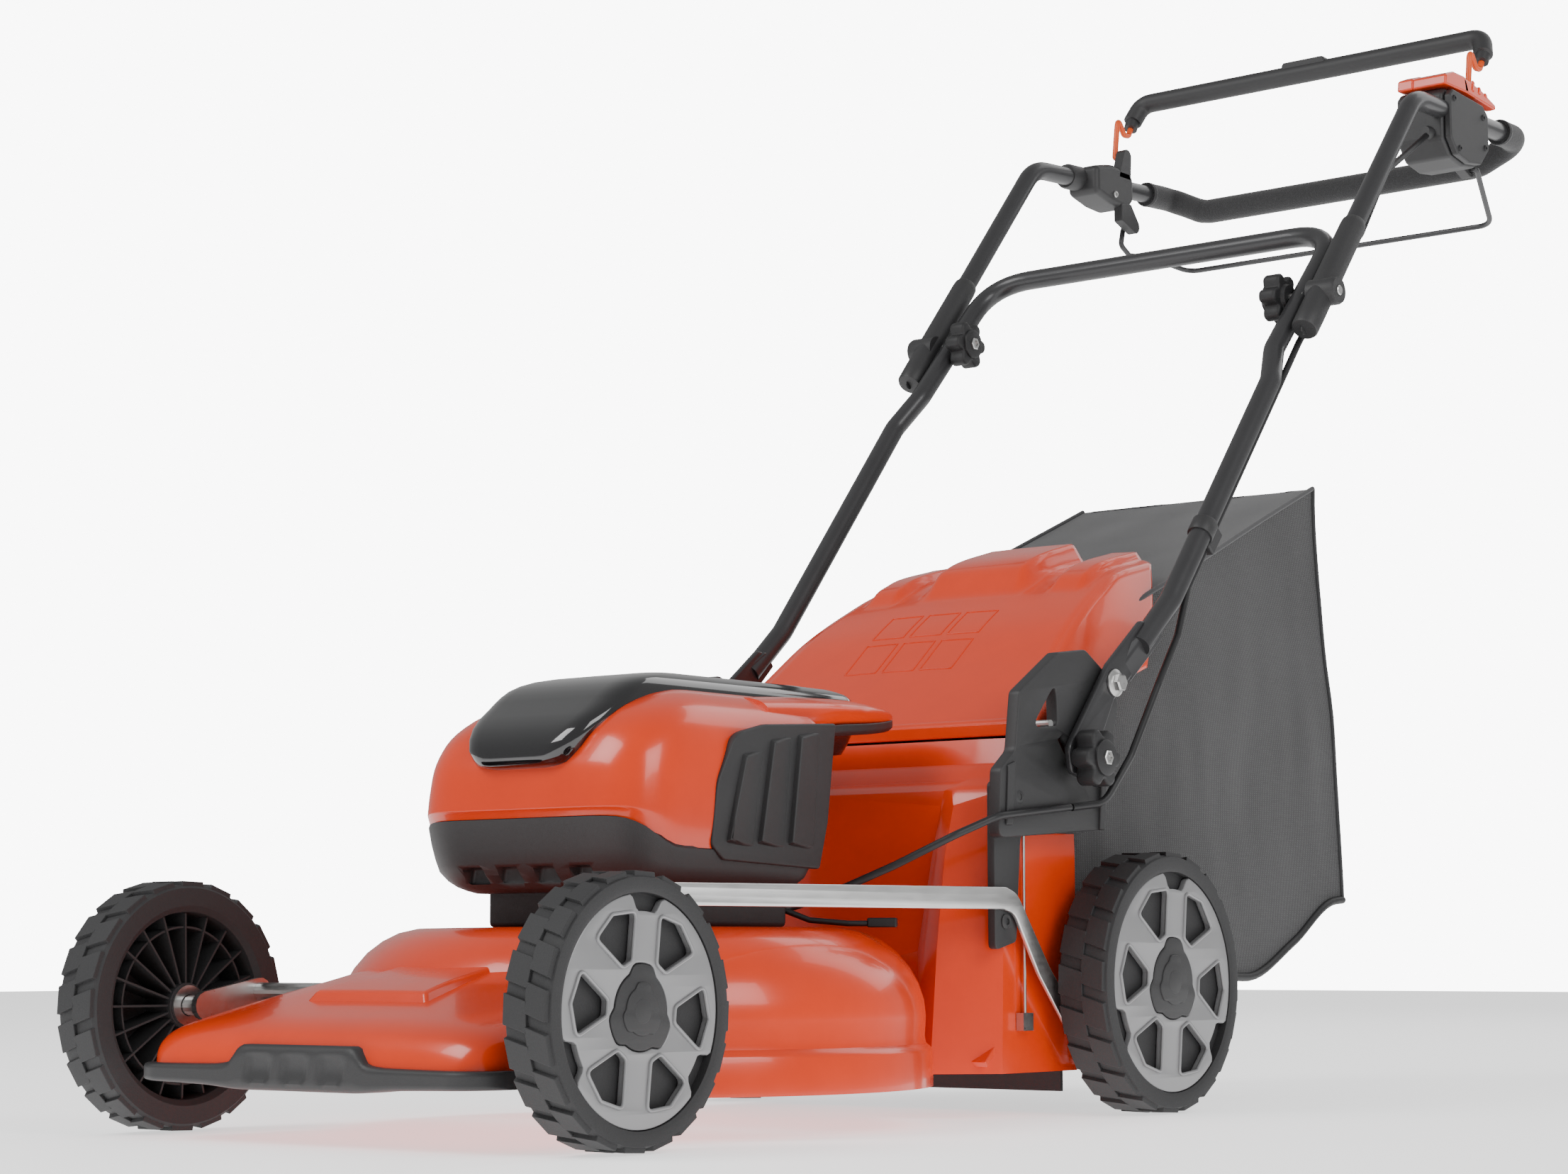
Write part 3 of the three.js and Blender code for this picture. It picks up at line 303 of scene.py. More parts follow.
def bevel(made, width, segments=3, degrees=30):
    """Rounds the edges sharper than an angle."""
    for edge in made.data.edges:
        edge.use_edge_sharp = False
    return add_modifier(made, "BEVEL", width=width * MM, segments=segments, limit_method="ANGLE",
                        angle_limit=math.radians(degrees), harden_normals=True)


def apply_modifiers(made):
    """Turns an object's modifiers into its mesh."""
    shown = made.evaluated_get(bpy.context.evaluated_depsgraph_get())
    mesh = bpy.data.meshes.new_from_object(shown)
    made.modifiers.clear()
    made.data = mesh
    return made


def combine(made, other, operation):
    """Joins two closed solids, or cuts the second out of the first. The second one is used up."""
    add_modifier(made, "BOOLEAN", object=other, operation=operation, solver="EXACT")
    apply_modifiers(made)
    bpy.data.objects.remove(other)
    return made


def join_meshes(name, parts):
    """One object from several, each kept as its own closed shell."""
    merged = bmesh.new()
    for part in parts:
        apply_modifiers(part)
        merged.from_mesh(part.data)
        bpy.data.objects.remove(part)
    mesh = bpy.data.meshes.new(name)
    merged.to_mesh(mesh)
    merged.free()
    return new_object(name, mesh)


def mirror_points(points):
    """The same points on the mower's other side."""
    return [(-x, y, z) for x, y, z in points]


def hull_solid(name, points, edge=0, segments=3):
    """A convex solid round the points, its edges rounded."""
    build = bmesh.new()
    corners = [build.verts.new(Vector(p) * MM) for p in points]
    made = bmesh.ops.convex_hull(build, input=corners)
    spare = {v for v in made["geom_interior"] + made["geom_unused"] if isinstance(v, bmesh.types.BMVert)}
    bmesh.ops.delete(build, geom=list(spare), context="VERTS")
    bmesh.ops.dissolve_limit(build, angle_limit=math.radians(3), verts=build.verts, edges=build.edges)
    bmesh.ops.recalc_face_normals(build, faces=build.faces)
    mesh = bpy.data.meshes.new(name)
    build.to_mesh(mesh)
    build.free()
    mesh.shade_smooth()
    made = new_object(name, mesh)
    if edge:
        bevel(made, edge, segments, 12)
    else:
        mesh.set_sharp_from_angle(angle=math.radians(20))
    return made


def slab_solid(name, outline, x0, x1, edge=1.5):
    """A convex outline in the Y-Z plane, thickened from x0 to x1."""
    return hull_solid(name, [(x, y, z) for x in (x0, x1) for y, z in outline], edge)


def solid_box(name, x0, x1, y0, y1, z0, z1, edge=0):
    """A box between two corners."""
    return hull_solid(name, [(x, y, z) for x in (x0, x1) for y in (y0, y1) for z in (z0, z1)], edge)


def prism(name, outline, x0, x1):
    """Closed prism over an outline in the Y-Z plane that may be concave."""
    count = len(outline)
    vertices = [(x0, y, z) for y, z in outline] + [(x1, y, z) for y, z in outline]
    faces = [tuple(range(count)), tuple(range(count, 2 * count))]
    faces += [(k, (k + 1) % count, (k + 1) % count + count, k + count) for k in range(count)]
    return mesh_object(name, vertices, faces)


def loft(name, rings, closed=True, capped=True, sharp_degrees=38):
    """A surface through rings of points. Closed rings are capped at both ends."""
    count = len(rings[0])
    vertices = [point for ring in rings for point in ring]
    faces = []
    for row in range(len(rings) - 1):
        for k in range(count if closed else count - 1):
            a, b = row * count + k, row * count + (k + 1) % count
            faces.append((a, b, b + count, a + count))
    if closed and capped:
        faces.append(tuple(range(count)))
        faces.append(tuple(range(len(vertices) - count, len(vertices))))
    return mesh_object(name, vertices, faces, sharp_degrees)


# Radius at which a turned solid's profile starts and ends, so that it closes on its axis.
AXIS = 0.01


def lathe(name, profile, centre, axis="Z", segments=96, sharp_degrees=38):
    """Turns a closed profile of (radius, height) about an axis through centre."""
    rings = []
    for k in range(segments):
        angle = 2 * math.pi * k / segments
        ring = []
        for radius, height in profile:
            a, b = radius * math.cos(angle), radius * math.sin(angle)
            offset = (a, b, height) if axis == "Z" else (height, a, b)
            ring.append(tuple(c + o for c, o in zip(centre, offset)))
        rings.append(ring)
    rings.append(rings[0])
    return loft(name, rings, closed=True, capped=False, sharp_degrees=sharp_degrees)


def curve_through(points):
    """A smooth function through (position, value) points that never overshoots them."""
    xs, ys = zip(*points)
    steps = [(ys[i + 1] - ys[i]) / (xs[i + 1] - xs[i]) for i in range(len(xs) - 1)]
    slopes = [steps[0]]
    for before, after in zip(steps, steps[1:]):
        slopes.append(0 if before * after <= 0 else 2 * before * after / (before + after))
    slopes.append(steps[-1])

    def value(x):
        if x <= xs[0]:
            return ys[0]
        if x >= xs[-1]:
            return ys[-1]
        i = max(k for k in range(len(xs) - 1) if xs[k] <= x)
        width = xs[i + 1] - xs[i]
        t = (x - xs[i]) / width
        return ((1 + 2 * t) * (1 - t) ** 2 * ys[i] + t * (1 - t) ** 2 * width * slopes[i]
                + t * t * (3 - 2 * t) * ys[i + 1] + t * t * (t - 1) * width * slopes[i + 1])
    return value


def smooth_step(value, start, end):
    """0 before start, 1 after end, and a smooth rise between."""
    t = min(1, max(0, (value - start) / (end - start)))
    return t * t * (3 - 2 * t)


def spread(start, end, count):
    """Evenly spaced values from start to end."""
    return [start + (end - start) * k / (count - 1) for k in range(count)]


def rounded(points, radii, steps=5, closed=True):
    """A polyline with its corners turned into arcs, the same number of points at each corner."""
    out = []
    count = len(points)
    vectors = [Vector(p) for p in points]
    for i, corner in enumerate(vectors):
        radius = radii[i] if isinstance(radii, (list, tuple)) else radii
        if not closed and i in (0, count - 1):
            out.append(corner)
            continue
        before = vectors[i - 1] - corner
        after = vectors[(i + 1) % count] - corner
        turn = math.pi - before.angle(after, math.pi)
        trim = min(radius * math.tan(turn / 2), 0.49 * before.length, 0.49 * after.length)
        start = corner + before.normalized() * trim
        end = corner + after.normalized() * trim
        for k in range(steps + 1):
            t = k / steps
            out.append(start * (1 - t) ** 2 + corner * 2 * t * (1 - t) + end * t * t)
    return out


def rounded_outline(outline, radii, steps=5):
    """A flat outline with its corners turned into arcs."""
    return [(p.x, p.y) for p in rounded([(a, b, 0) for a, b in outline], radii, steps)]


def bent_path(corners, bend, steps=8):
    """Points along straight runs joined by round bends. A corner may carry a radius of its own."""
    radii = [corner[3] if len(corner) > 3 else bend for corner in corners]
    return rounded([corner[:3] for corner in corners], radii, steps, closed=False)


# Points of a path that lie closer than this are taken as one.
CLOSEST_POINTS = 0.05


def tube(name, path, radius, sides=20, section=None):
    """A tube along a path. section(share) gives the (wide, high) scale at a share of its points."""
    points = [Vector(p) for p in path]
    clean = [points[0]]
    for point in points[1:]:
        if (point - clean[-1]).length > CLOSEST_POINTS:
            clean.append(point)
    rings = []
    normal = None
    for i, point in enumerate(clean):
        ahead = clean[min(i + 1, len(clean) - 1)]
        behind = clean[max(i - 1, 0)]
        heading = (ahead - behind).normalized()
        if normal is None:
            aside = Vector((1, 0, 0)) if abs(heading.x) < 0.9 else Vector((0, 0, 1))
            normal = heading.cross(aside).normalized()
        normal = (normal - heading * normal.dot(heading)).normalized()
        side = heading.cross(normal)
        wide, high = section(i / (len(clean) - 1)) if section else (1, 1)
        ring = []
        for k in range(sides):
            angle = 2 * math.pi * k / sides
            ring.append(point + (normal * math.cos(angle) * high + side * math.sin(angle) * wide) * radius)
        rings.append(ring)
    return loft(name, rings)


def flat_outline(name, outline, holes, x0, x1, edge):
    """Plate from an outline in the Y-Z plane, with holes, its edges rounded."""
    data = bpy.data.curves.new(name, "CURVE")
    data.dimensions = "2D"
    data.fill_mode = "BOTH"
    data.extrude = abs(x1 - x0) / 2 * MM - edge * MM
    data.bevel_depth = edge * MM
    data.bevel_resolution = 2
    data.offset = -edge * MM
    for loop in (outline, *holes):
        spline = data.splines.new("POLY")
        spline.points.add(len(loop) - 1)
        for point, (y, z) in zip(spline.points, loop):
            point.co = (y * MM, z * MM, 0, 1)
        spline.use_cyclic_u = True
    drawn = new_object(name, data)
    mesh = bpy.data.meshes.new_from_object(drawn.evaluated_get(bpy.context.evaluated_depsgraph_get()))
    bpy.data.objects.remove(drawn)
    middle = (x0 + x1) / 2 * MM
    drawing_to_frame = Matrix(((0, 0, 1, middle), (1, 0, 0, 0), (0, 1, 0, 0), (0, 0, 0, 1)))
    mesh.transform(drawing_to_frame)
    build = bmesh.new()
    build.from_mesh(mesh)
    bmesh.ops.remove_doubles(build, verts=build.verts, dist=2e-6)
    bmesh.ops.recalc_face_normals(build, faces=build.faces)
    build.to_mesh(mesh)
    build.free()
    mesh.name = name
    shade(mesh, 40)
    return new_object(name, mesh)


def polar(count, radius_at, centre=(0, 0)):
    """Outline of points round a centre, its radius given by angle."""
    outline = []
    for k in range(count):
        angle = 2 * math.pi * k / count
        outline.append((centre[0] + radius_at(angle) * math.cos(angle),
                        centre[1] + radius_at(angle) * math.sin(angle)))
    return outline


def circle(radius, centre, count):
    """A circle as an outline."""
    return polar(count, lambda angle: radius, centre)


def washer_profile(inner, outer, x0, x1):
    """Profile of a flat ring, for lathe."""
    return [(inner, x0), (outer, x0), (outer, x1), (inner, x1)]


def screw(name, centre, side, body, radius=5, slot="steel"):
    """A round screw head with a recess, facing out along X."""
    head = lathe(name, [(AXIS, 0), (radius, 0), (radius, side * 1.2), (radius * 0.8, side * 2.2),
                        (radius * 0.45, side * 2.4), (radius * 0.4, side * 0.8), (AXIS, side * 0.8)],
                 centre, "X", 24)
    return place(head, body, slot)


# ---------- wheels ----------
NOTCH_ANGLE = math.radians(85)
TYRE_LUGS = 40
LUG_HEIGHT = 3.2
WEB_RIBS = 20
SPOKES = 6


def wheel_place(name):
    """Centre, radius, width and side of a wheel, from its tyre."""
    low, high = node_box(f"{name}_tyre")
    centre = [(a + b) / 2 for a, b in zip(low, high)]
    return centre, (high[1] - low[1]) / 2, high[0] - low[0], LEFT if centre[0] > 0 else RIGHT


def add_tyre(name):
    """Tread blocks, a smooth side wall, and a ribbed web that shows from the inner side."""
    centre, radius, width, side = wheel_place(name)
    trim = (node_box(f"{name}_trim")[1][1] - node_box(f"{name}_trim")[0][1]) / 2
    outer, inner = width / 2, -width / 2
    web = outer - 9.5
    tread = radius - LUG_HEIGHT
    profile = [(9, inner + 4), (19, inner + 4), (20, web - 5), (trim - 12, web - 5), (trim - 9, inner + 5),
               (trim - 4, inner + 1), (tread - 3, inner + 1), (tread, inner + 4), (tread, outer - 5),
               (tread - 2, outer - 1), (trim + 4, outer), (trim + 0.6, outer - 1.5), (trim + 0.6, web),
               (9, web)]
    body = lathe(name, [(r, side * x) for r, x in profile], centre, "X", 112)
    parts = [body]
    for k in range(TYRE_LUGS):
        turn = 2 * math.pi * (k + 0.5 * (k % 2)) / TYRE_LUGS
        reach = (0.5, outer - 2.5) if k % 2 else (inner + 2.5, 2)
        parts.append(tread_block(f"{name}_lug_{k}", centre, side, turn, tread, radius, reach))
    for k in range(WEB_RIBS):
        turn = 2 * math.pi * k / WEB_RIBS
        parts.append(radial_rib(f"{name}_rib_{k}", centre, side, turn, (18, trim - 10), (inner + 6, web - 4)))
    parts.append(lathe(f"{name}_ring", [(r, side * x) for r, x in washer_profile(
        0.74 * trim, 0.76 * trim, inner + 9, web - 4)], centre, "X", 64))
    tyre = join_meshes(f"{name}_rubber", parts)
    stand_in(tyre, f"{name}_tyre", name, "tyre_rubber")


def wheel_point(centre, side, radius, turn, x):
    """A point at a radius and angle round a wheel, x outwards from its middle."""
    return (centre[0] + side * x, centre[1] + radius * math.cos(turn), centre[2] + radius * math.sin(turn))


def tread_block(name, centre, side, turn, base, crown, reach):
    """One slanted block of the tread, from the middle of the tread round its shoulder."""
    half = math.pi / TYRE_LUGS * 1.55
    crown_half = half * 0.904
    slant = 0.25 * half * (1 if reach[0] > 0 else -1)
    shoulder = reach[1] if reach[0] > 0 else reach[0]
    middle = reach[0] if reach[0] > 0 else reach[1]
    points = []
    for edge in (-1, 1):
        for x, shift in ((middle, -slant), (shoulder, slant)):
            points.append(wheel_point(centre, side, base - 3, turn + edge * half + shift, x))
            points.append(wheel_point(centre, side, crown, turn + edge * crown_half + shift, x * 0.97))
        points.append(wheel_point(centre, side, base - 7, turn + edge * half * 0.8 + slant, shoulder * 0.98))
    return hull_solid(name, points, 0.7, 2)


def radial_rib(name, centre, side, turn, radii, reach):
    """A thin rib standing on the web."""
    (inner, outer), (low, high) = radii, reach
    points = []
    for offset in (-0.9, 0.9):
        for radius, x in ((inner, low), (inner, high), (outer, low + 2), (outer, high)):
            y = radius * math.cos(turn) - offset * math.sin(turn)
            z = radius * math.sin(turn) + offset * math.cos(turn)
            points.append((centre[0] + side * x, centre[1] + y, centre[2] + z))
    return hull_solid(name, points)


def spoke_window(trim, turn):
    """Opening between two broad spokes, with rounded corners."""
    corners = []
    for share, offset in ((0.44, -0.16), (0.85, -0.35), (0.90, 0), (0.85, 0.33), (0.44, 0.16)):
        radius = share * trim
        corners.append((radius * math.cos(turn + offset), radius * math.sin(turn + offset)))
    return rounded_outline(corners, 5, 4)


def rim_radius(trim):
    """The rim's outer edge, with three shallow notches."""
    def radius(angle):
        lobe = smooth_step(math.cos(3 * (angle - NOTCH_ANGLE)), 0.80, 0.93)
        return trim * (1 - 0.15 * lobe)
    return radius


def cap_radius(trim, growth=0.0):
    """The hub cap's edge: three broad lobes with shallow waists."""
    def radius(angle):
        lobe = smooth_step(math.cos(3 * (angle - NOTCH_ANGLE)), -0.1, 0.75)
        return 0.375 * trim * (0.9 + 0.17 * lobe) + growth
    return radius


def add_trim_and_cap(name):
    """Spoked trim with a raised lip round each window, and the plain lobed hub cap."""
    centre, _, _, side = wheel_place(name)
    low, high = node_box(f"{name}_trim")
    trim = (high[1] - low[1]) / 2
    face = max(abs(low[0]), abs(high[0]))
    back = min(abs(low[0]), abs(high[0]))

    def placed(outline):
        return [(centre[1] + y, centre[2] + z) for y, z in outline]
    windows = []
    for k in range(SPOKES):
        turn = NOTCH_ANGLE + 2 * math.pi * (k + 0.5) / SPOKES
        windows.append(placed(spoke_window(trim, turn)))
    opening = placed(polar(72, cap_radius(trim, 0.6)))
    rim = placed(polar(180, rim_radius(trim)))
    plate = flat_outline(f"{name}_trim_plate", rim, [*windows, opening], side * back, side * face, 1.4)
    lips = []
    for k, window in enumerate(windows):
        loop = [(side * (face + 0.3), y, z) for y, z in window]
        lips.append(tube(f"{name}_lip_{k}", loop + loop[:2], 1.5, 8))
    trim_piece = join_meshes(f"{name}_spokes", [plate, *lips])
    stand_in(trim_piece, f"{name}_trim", name, "wheel_silver")
    cap = flat_outline(f"{name}_cap_base", placed(polar(96, cap_radius(trim))), [], side * back,
                       side * (face + 0.8), 1.6)
    crown = flat_outline(f"{name}_cap_crown", placed(polar(96, lambda a: cap_radius(trim)(a) * 0.62)), [],
                         side * face, side * (face + 1.9), 1.2)
    boss = flat_outline(f"{name}_cap_boss", placed(polar(48, lambda a: 0.11 * trim)), [],
                        side * face, side * (face + 2.4), 0.8)
    hub = join_meshes(f"{name}_hub", [cap, crown, boss])
    stand_in(hub, f"{name}_hub_cap", name, "charcoal_plastic")


def add_axle_washer(name):
    """Washer on the inner side of a wheel."""
    centre, _, width, side = wheel_place(name)
    inner = -width / 2
    profile = [(r, side * x) for r, x in washer_profile(9, 17, inner + 1.5, inner + 3.8)]
    place(lathe(f"{name}_washer", profile, centre, "X", 40), name, "steel")


def add_wheels():
    """Four wheels, alike but for their size."""
    for name in ("front_left_wheel", "front_right_wheel", "rear_left_wheel", "rear_right_wheel"):
        add_tyre(name)
        add_trim_and_cap(name)
        add_axle_washer(name)


# ---------- deck ----------
BLADE_Y = (node_box("blade")[0][1] + node_box("blade")[1][1]) / 2
DECK_LOW, DECK_HIGH = node_box("deck_shell")
CHAMBER_RADIUS = DECK_HIGH[0]
NOSE_Y = DECK_LOW[1]
NOSE_HALF = 190
NOSE_CORNER = 34
NOSE_SQUARENESS = 0.36
NOSE_CROWN_POWER = 2.5
PLATEAU_Z = node_box("housing_lower")[0][2] - 0.4
TOWER_HALF = 205
TOWER_REAR_Y = DECK_HIGH[1]
SHEET = 4

nose_side_top = curve_through([(-842, 62), (-840, 72), (-832, 86), (-815, 95), (-795, 100), (-745, 110),
                               (-690, 119), (-640, 126), (-560, 136), (-450, 140)])
nose_crown = curve_through([(-842, 0), (-815, 2), (-780, 5), (-740, 9), (-690, 14), (-655, 19), (-620, 26),
                            (-580, 31), (-450, 30)])
nose_half = curve_through([(-808, 190), (-760, 190), (-700, 186), (-642, 177), (-560, 152), (-450, 120)])


def nose_height(x, y):
    """Top of the nose above a point."""
    across = min(1, abs(x) / NOSE_HALF)
    return nose_side_top(y) + nose_crown(y) * (1 - across ** NOSE_CROWN_POWER)


def nose_section(y, inset, bottom):
    """Arched cross-section of the nose, which narrows towards its rounded front corners."""
    lead = max(0, min(1, (y - (NOSE_Y + NOSE_CORNER)) / -NOSE_CORNER))
    half = nose_half(y) - NOSE_CORNER * (1 - math.sqrt(max(0, 1 - lead * lead))) - inset
    side_top = nose_side_top(y) - inset
    crown = nose_crown(y)
    section = []
    for angle in spread(0, math.pi, 61):
        c, s = math.cos(angle), math.sin(angle)
        rise = abs(s) ** NOSE_SQUARENESS
        x = half * math.copysign(abs(c) ** NOSE_SQUARENESS, c)
        z = bottom + (side_top - bottom) * rise
        section.append((x, y, z + crown * rise * (1 - (abs(x) / NOSE_HALF) ** NOSE_CROWN_POWER)))
    return section


def deck_nose(name, inset, bottom):
    """The nose as a closed solid; inset gives the hollow inside it."""
    lead = [NOSE_Y + NOSE_CORNER * t * t for t in spread(0, 1, 12)]
    stations = [y + inset for y in lead[:-1]] + spread(NOSE_Y + NOSE_CORNER + inset, BLADE_Y, 40)
    return loft(name, [nose_section(y, inset, bottom) for y in stations])


def deck_dome(name, inset, bottom):
    """Round cutting chamber: a straight skirt, a step, a full shoulder and the flat plateau."""
    outline = [(0, -2), (0, 30), (-1.5, 33), (-6, 37), (-7, 42), (-6, 60), (-7.5, 74), (-12, 88), (-20, 102),
               (-31, 115), (-44, 125), (-58, 132), (-74, 135.6), (-92, 136)]
    profile = [(AXIS, bottom)]
    skirt = DECK_LOW[2]
    for shift, rise in outline:
        height = bottom if rise < 0 else min(skirt + rise, PLATEAU_Z) - inset * (rise > 100)
        profile.append((CHAMBER_RADIUS + shift - inset, height))
    profile.append((AXIS, PLATEAU_Z - inset))
    return lathe(name, profile, (0, BLADE_Y, 0), "Z", 144)


# Left half of the tower's plan at each height: the height, then (x, y) from the middle of the front
# to the outer corner. A ridge runs down outside a hollow front face.
TOWER_LEVELS = (
    (40, (0, -212), (120, -212), (142, -222), (158, -226), (205, -180)),
    (150, (0, -200), (126, -200), (146, -213), (159, -216), (205, -177)),
    (235, (0, -188), (134, -188), (150, -201), (160, -204), (205, -173)),
    (282, (0, -187), (144, -187), (152, -190), (161, -191), (204, -170)),
    (296, (0, -184), (146, -184), (154, -184), (162, -184), (202, -168)),
    (301, (0, -178), (146, -178), (154, -178), (162, -178), (200, -165)),
    (306, (0, -166), (146, -166), (154, -166), (162, -166), (199, -160)),
    (311, (0, -162), (146, -162), (154, -162), (162, -162), (198, -156)),
    (318, (0, -156), (146, -156), (154, -156), (162, -156), (197, -152)),
    (322, (0, -150), (146, -150), (154, -150), (162, -150), (196, -146)),
    (345, (0, -144), (146, -144), (154, -144), (162, -144), (195, -140)),
)


def tower_ring(level, inset, z):
    """The tower's whole plan at one height, from its left half."""
    half = [(x * (1 - inset / TOWER_HALF), y + inset) for x, y in level[1:]]
    half.append((half[-1][0], TOWER_REAR_Y - inset))
    ring = [(x, y, z) for x, y in half]
    return ring + [(-x, y, z) for x, y, z in reversed(ring[1:])]


def deck_tower(name, inset, bottom):
    """The box-shaped rear of the deck, which carries the flap and the discharge mouth."""
    rings = []
    for level in TOWER_LEVELS:
        z = bottom if level is TOWER_LEVELS[0] else level[0] - inset * (level[0] > 290)
        rings.append(tower_ring(level, inset, z))
    return loft(name, rings, sharp_degrees=30)


def add_deck():
    """Hollow pressed deck: dome, nose and tower in one sheet, open below, at the mouth and at the rear."""
    outer = deck_dome("deck_skin", 0, DECK_LOW[2])
    combine(outer, deck_nose("nose", 0, DECK_LOW[2] + 14), "UNION")
    combine(outer, deck_tower("tower", 0, DECK_LOW[2] + 6), "UNION")
    inner = deck_dome("chamber", SHEET, DECK_LOW[2] - 8)
    combine(inner, deck_nose("nose_hollow", SHEET, DECK_LOW[2] - 8), "UNION")
    combine(inner, deck_tower("tower_hollow", SHEET, DECK_LOW[2] - 8), "UNION")
    combine(outer, inner, "DIFFERENCE")
    combine(outer, solid_box("mouth", -186, 186, -80, -40, 182, 332), "DIFFERENCE")
    combine(outer, solid_box("rear_opening", -200, 200, -80, -40, 24, 160), "DIFFERENCE")
    shade(outer.data, 28)
    add_modifier(outer, "BEVEL", width=2.2 * MM, segments=3, limit_method="ANGLE",
                 angle_limit=math.radians(34), harden_normals=False)
    stand_in(outer, "deck_shell", "deck", "orange_gloss")
    floor = slab_solid("chute_floor", [(-197, 46), (-62, 165), (-62, 170), (-200, 51)], -200, 200, 1)
    place(floor, "deck", "orange_gloss")
    add_nose_plate()


def add_nose_plate():
    """Plain raised plate on the nose, tapering towards the housing."""
    rows, columns = 26, 30
    front, rear = -768, -672
    top = []
    for y in spread(front, rear, rows):
        half = 62 - 12 * (y - front) / (rear - front)
        line = []
        for x in spread(-half, half, columns):
            line.append((x, y, nose_height(x, y) + 7 - 3.5 * smooth_step(y, front, rear)))
        top.append(line)
    base = [[(x * 1.14, y + (6 if y > -700 else -7) * (abs(y + 720) / 48), nose_height(x, y) - 6)
             for x, y, _ in line] for line in top]
    vertices = [p for line in top for p in line] + [p for line in base for p in line]
    faces = []
    shift = rows * columns
    for r in range(rows - 1):
        for c in range(columns - 1):
            a = r * columns + c
            faces.append((a, a + 1, a + 1 + columns, a + columns))
            faces.append((a + shift, a + columns + shift, a + 1 + columns + shift, a + 1 + shift))
    for c in range(columns - 1):
        for a in (c, (rows - 1) * columns + c):
            faces.append((a, a + 1, a + 1 + shift, a + shift))
    for r in range(rows - 1):
        for a in (r * columns, r * columns + columns - 1):
            faces.append((a, a + columns, a + columns + shift, a + shift))
    plate = mesh_object("nose_plate", vertices, faces, 30)
    bevel(plate, 3.5, 4, 25)
    place(plate, "deck", "orange_gloss")


def add_bumper():
    """Bumper across the nose, taller in the middle, with three shallow windows."""
    half, front = NOSE_HALF + 7, NOSE_Y - 7

    def front_y(x):
        over = max(0, abs(x) - (half - NOSE_CORNER)) / NOSE_CORNER
        return front + NOSE_CORNER * (1 - math.sqrt(max(0, 1 - min(1, over) ** 2)))
    rise = curve_through([(0, 78), (62, 78), (78, 64), (100, 62), (half, 61)])
    drop = curve_through([(0, 42), (60, 42), (110, 45), (half, 47)])
    rings = []
    for x in [half * math.sin(t) for t in spread(-math.pi / 2, math.pi / 2, 121)]:
        y, high, low = front_y(x), rise(abs(x)), drop(abs(x))
        window = 0
        for centre in (-40, 0, 40):
            window = max(window, 1 - smooth_step(abs(x - centre), 11, 14))
        dent = 2.6 * window
        ring = []
        for back, share in ((26, 0), (5, 0), (1.5, 0.06), (0, 0.16), (dent, 0.26), (dent, 0.68), (0, 0.78),
                            (1, 0.92), (4, 0.985), (26, 1)):
            ring.append((x, y + back, low + (high - low) * share))
        rings.append(ring)
    bumper = loft("bumper_skin", rings, sharp_degrees=50)
    stand_in(bumper, "front_bumper", "deck", "charcoal_plastic")


# ---------- motor housing ----------
HOOD_HALF = node_box("housing_hood")[1][0]
HOUSING_LOW_Z = 200
SPLIT_Z = 240
HOOD_TOP_Z = 379


def plan_ring(half, front, rear, front_radius, rear_radius, height, count=10):
    """Rounded rectangle in plan, its front corners larger than its rear ones. height(y) gives z."""
    corners = [(-half, front, 0), (half, front, 0), (half, rear, 0), (-half, rear, 0)]
    outline = rounded(corners, [front_radius, front_radius, rear_radius, rear_radius], count)
    ring = []
    for i, point in enumerate(outline):
        ring.append(point)
        if i % (count + 1) == count:
            following = outline[(i + 1) % len(outline)]
            ring += [point.lerp(following, k / 8) for k in range(1, 8)]
    return [(p.x, p.y, height(p.y)) for p in ring]


hood_half = curve_through([(200, 108), (206, 118), (222, 130), (262, 135), (310, 133), (335, 128), (352, 118),
                           (364, 102), (374, 78), (379, 52)])
hood_front = curve_through([(200, -566), (206, -578), (222, -592), (262, -600), (300, -596), (328, -584),
                            (348, -564), (364, -536), (374, -508), (379, -480)])
hood_rear = curve_through([(200, -374), (222, -362), (262, -354), (310, -342), (352, -332), (379, -336)])
split_height = curve_through([(-600, 262), (-593, 261), (-582, 256), (-560, 241), (-546, 236), (-300, 234)])


def hood_ring(z, height):
    """The housing's outline at one level, laid at the heights that height(y) gives."""
    corner = min(60, hood_half(z) * 0.6)
    return plan_ring(hood_half(z), hood_front(z), hood_rear(z), corner, 16, height)


def add_housing():
    """Dark lower half with four vents, on a pedestal, then the hood, lid and grilles."""
    lower_rings = []
    for t in (0, 0.06, 0.14, 0.25, 0.4, 0.6, 0.8, 1):
        lower_rings.append(hood_ring(HOUSING_LOW_Z + 50 * t, lambda y, t=t: (
            HOUSING_LOW_Z + (split_height(y) - 0.8 - HOUSING_LOW_Z) * t)))
    lower = loft("housing_base", lower_rings)
    for k, x in enumerate((-62, -21, 21, 62)):
        y = hood_front(214) + (4 if abs(x) > 50 else 0)
        cutter = hull_solid(f"vent_{k}", [
            (x + side * w, y + d, z) for side in (-1, 1) for w, d, z in
            ((15, -20, 206), (13, 9, 207), (13, -20, 222), (11, 9, 221))], 2.5)
        apply_modifiers(cutter)
        combine(lower, cutter, "DIFFERENCE")
    shade(lower.data, 35)
    foot_z = node_box("housing_lower")[0][2]
    pedestal = solid_box("housing_pedestal", -100, 100, -530, -358, foot_z, 206, 5)
    stand_in(lower, "housing_lower", "deck", "charcoal_plastic")
    place(pedestal, "deck", "charcoal_plastic")
    add_hood()
    add_lid()
    for name, side in SIDES:
        add_grille(name, side)


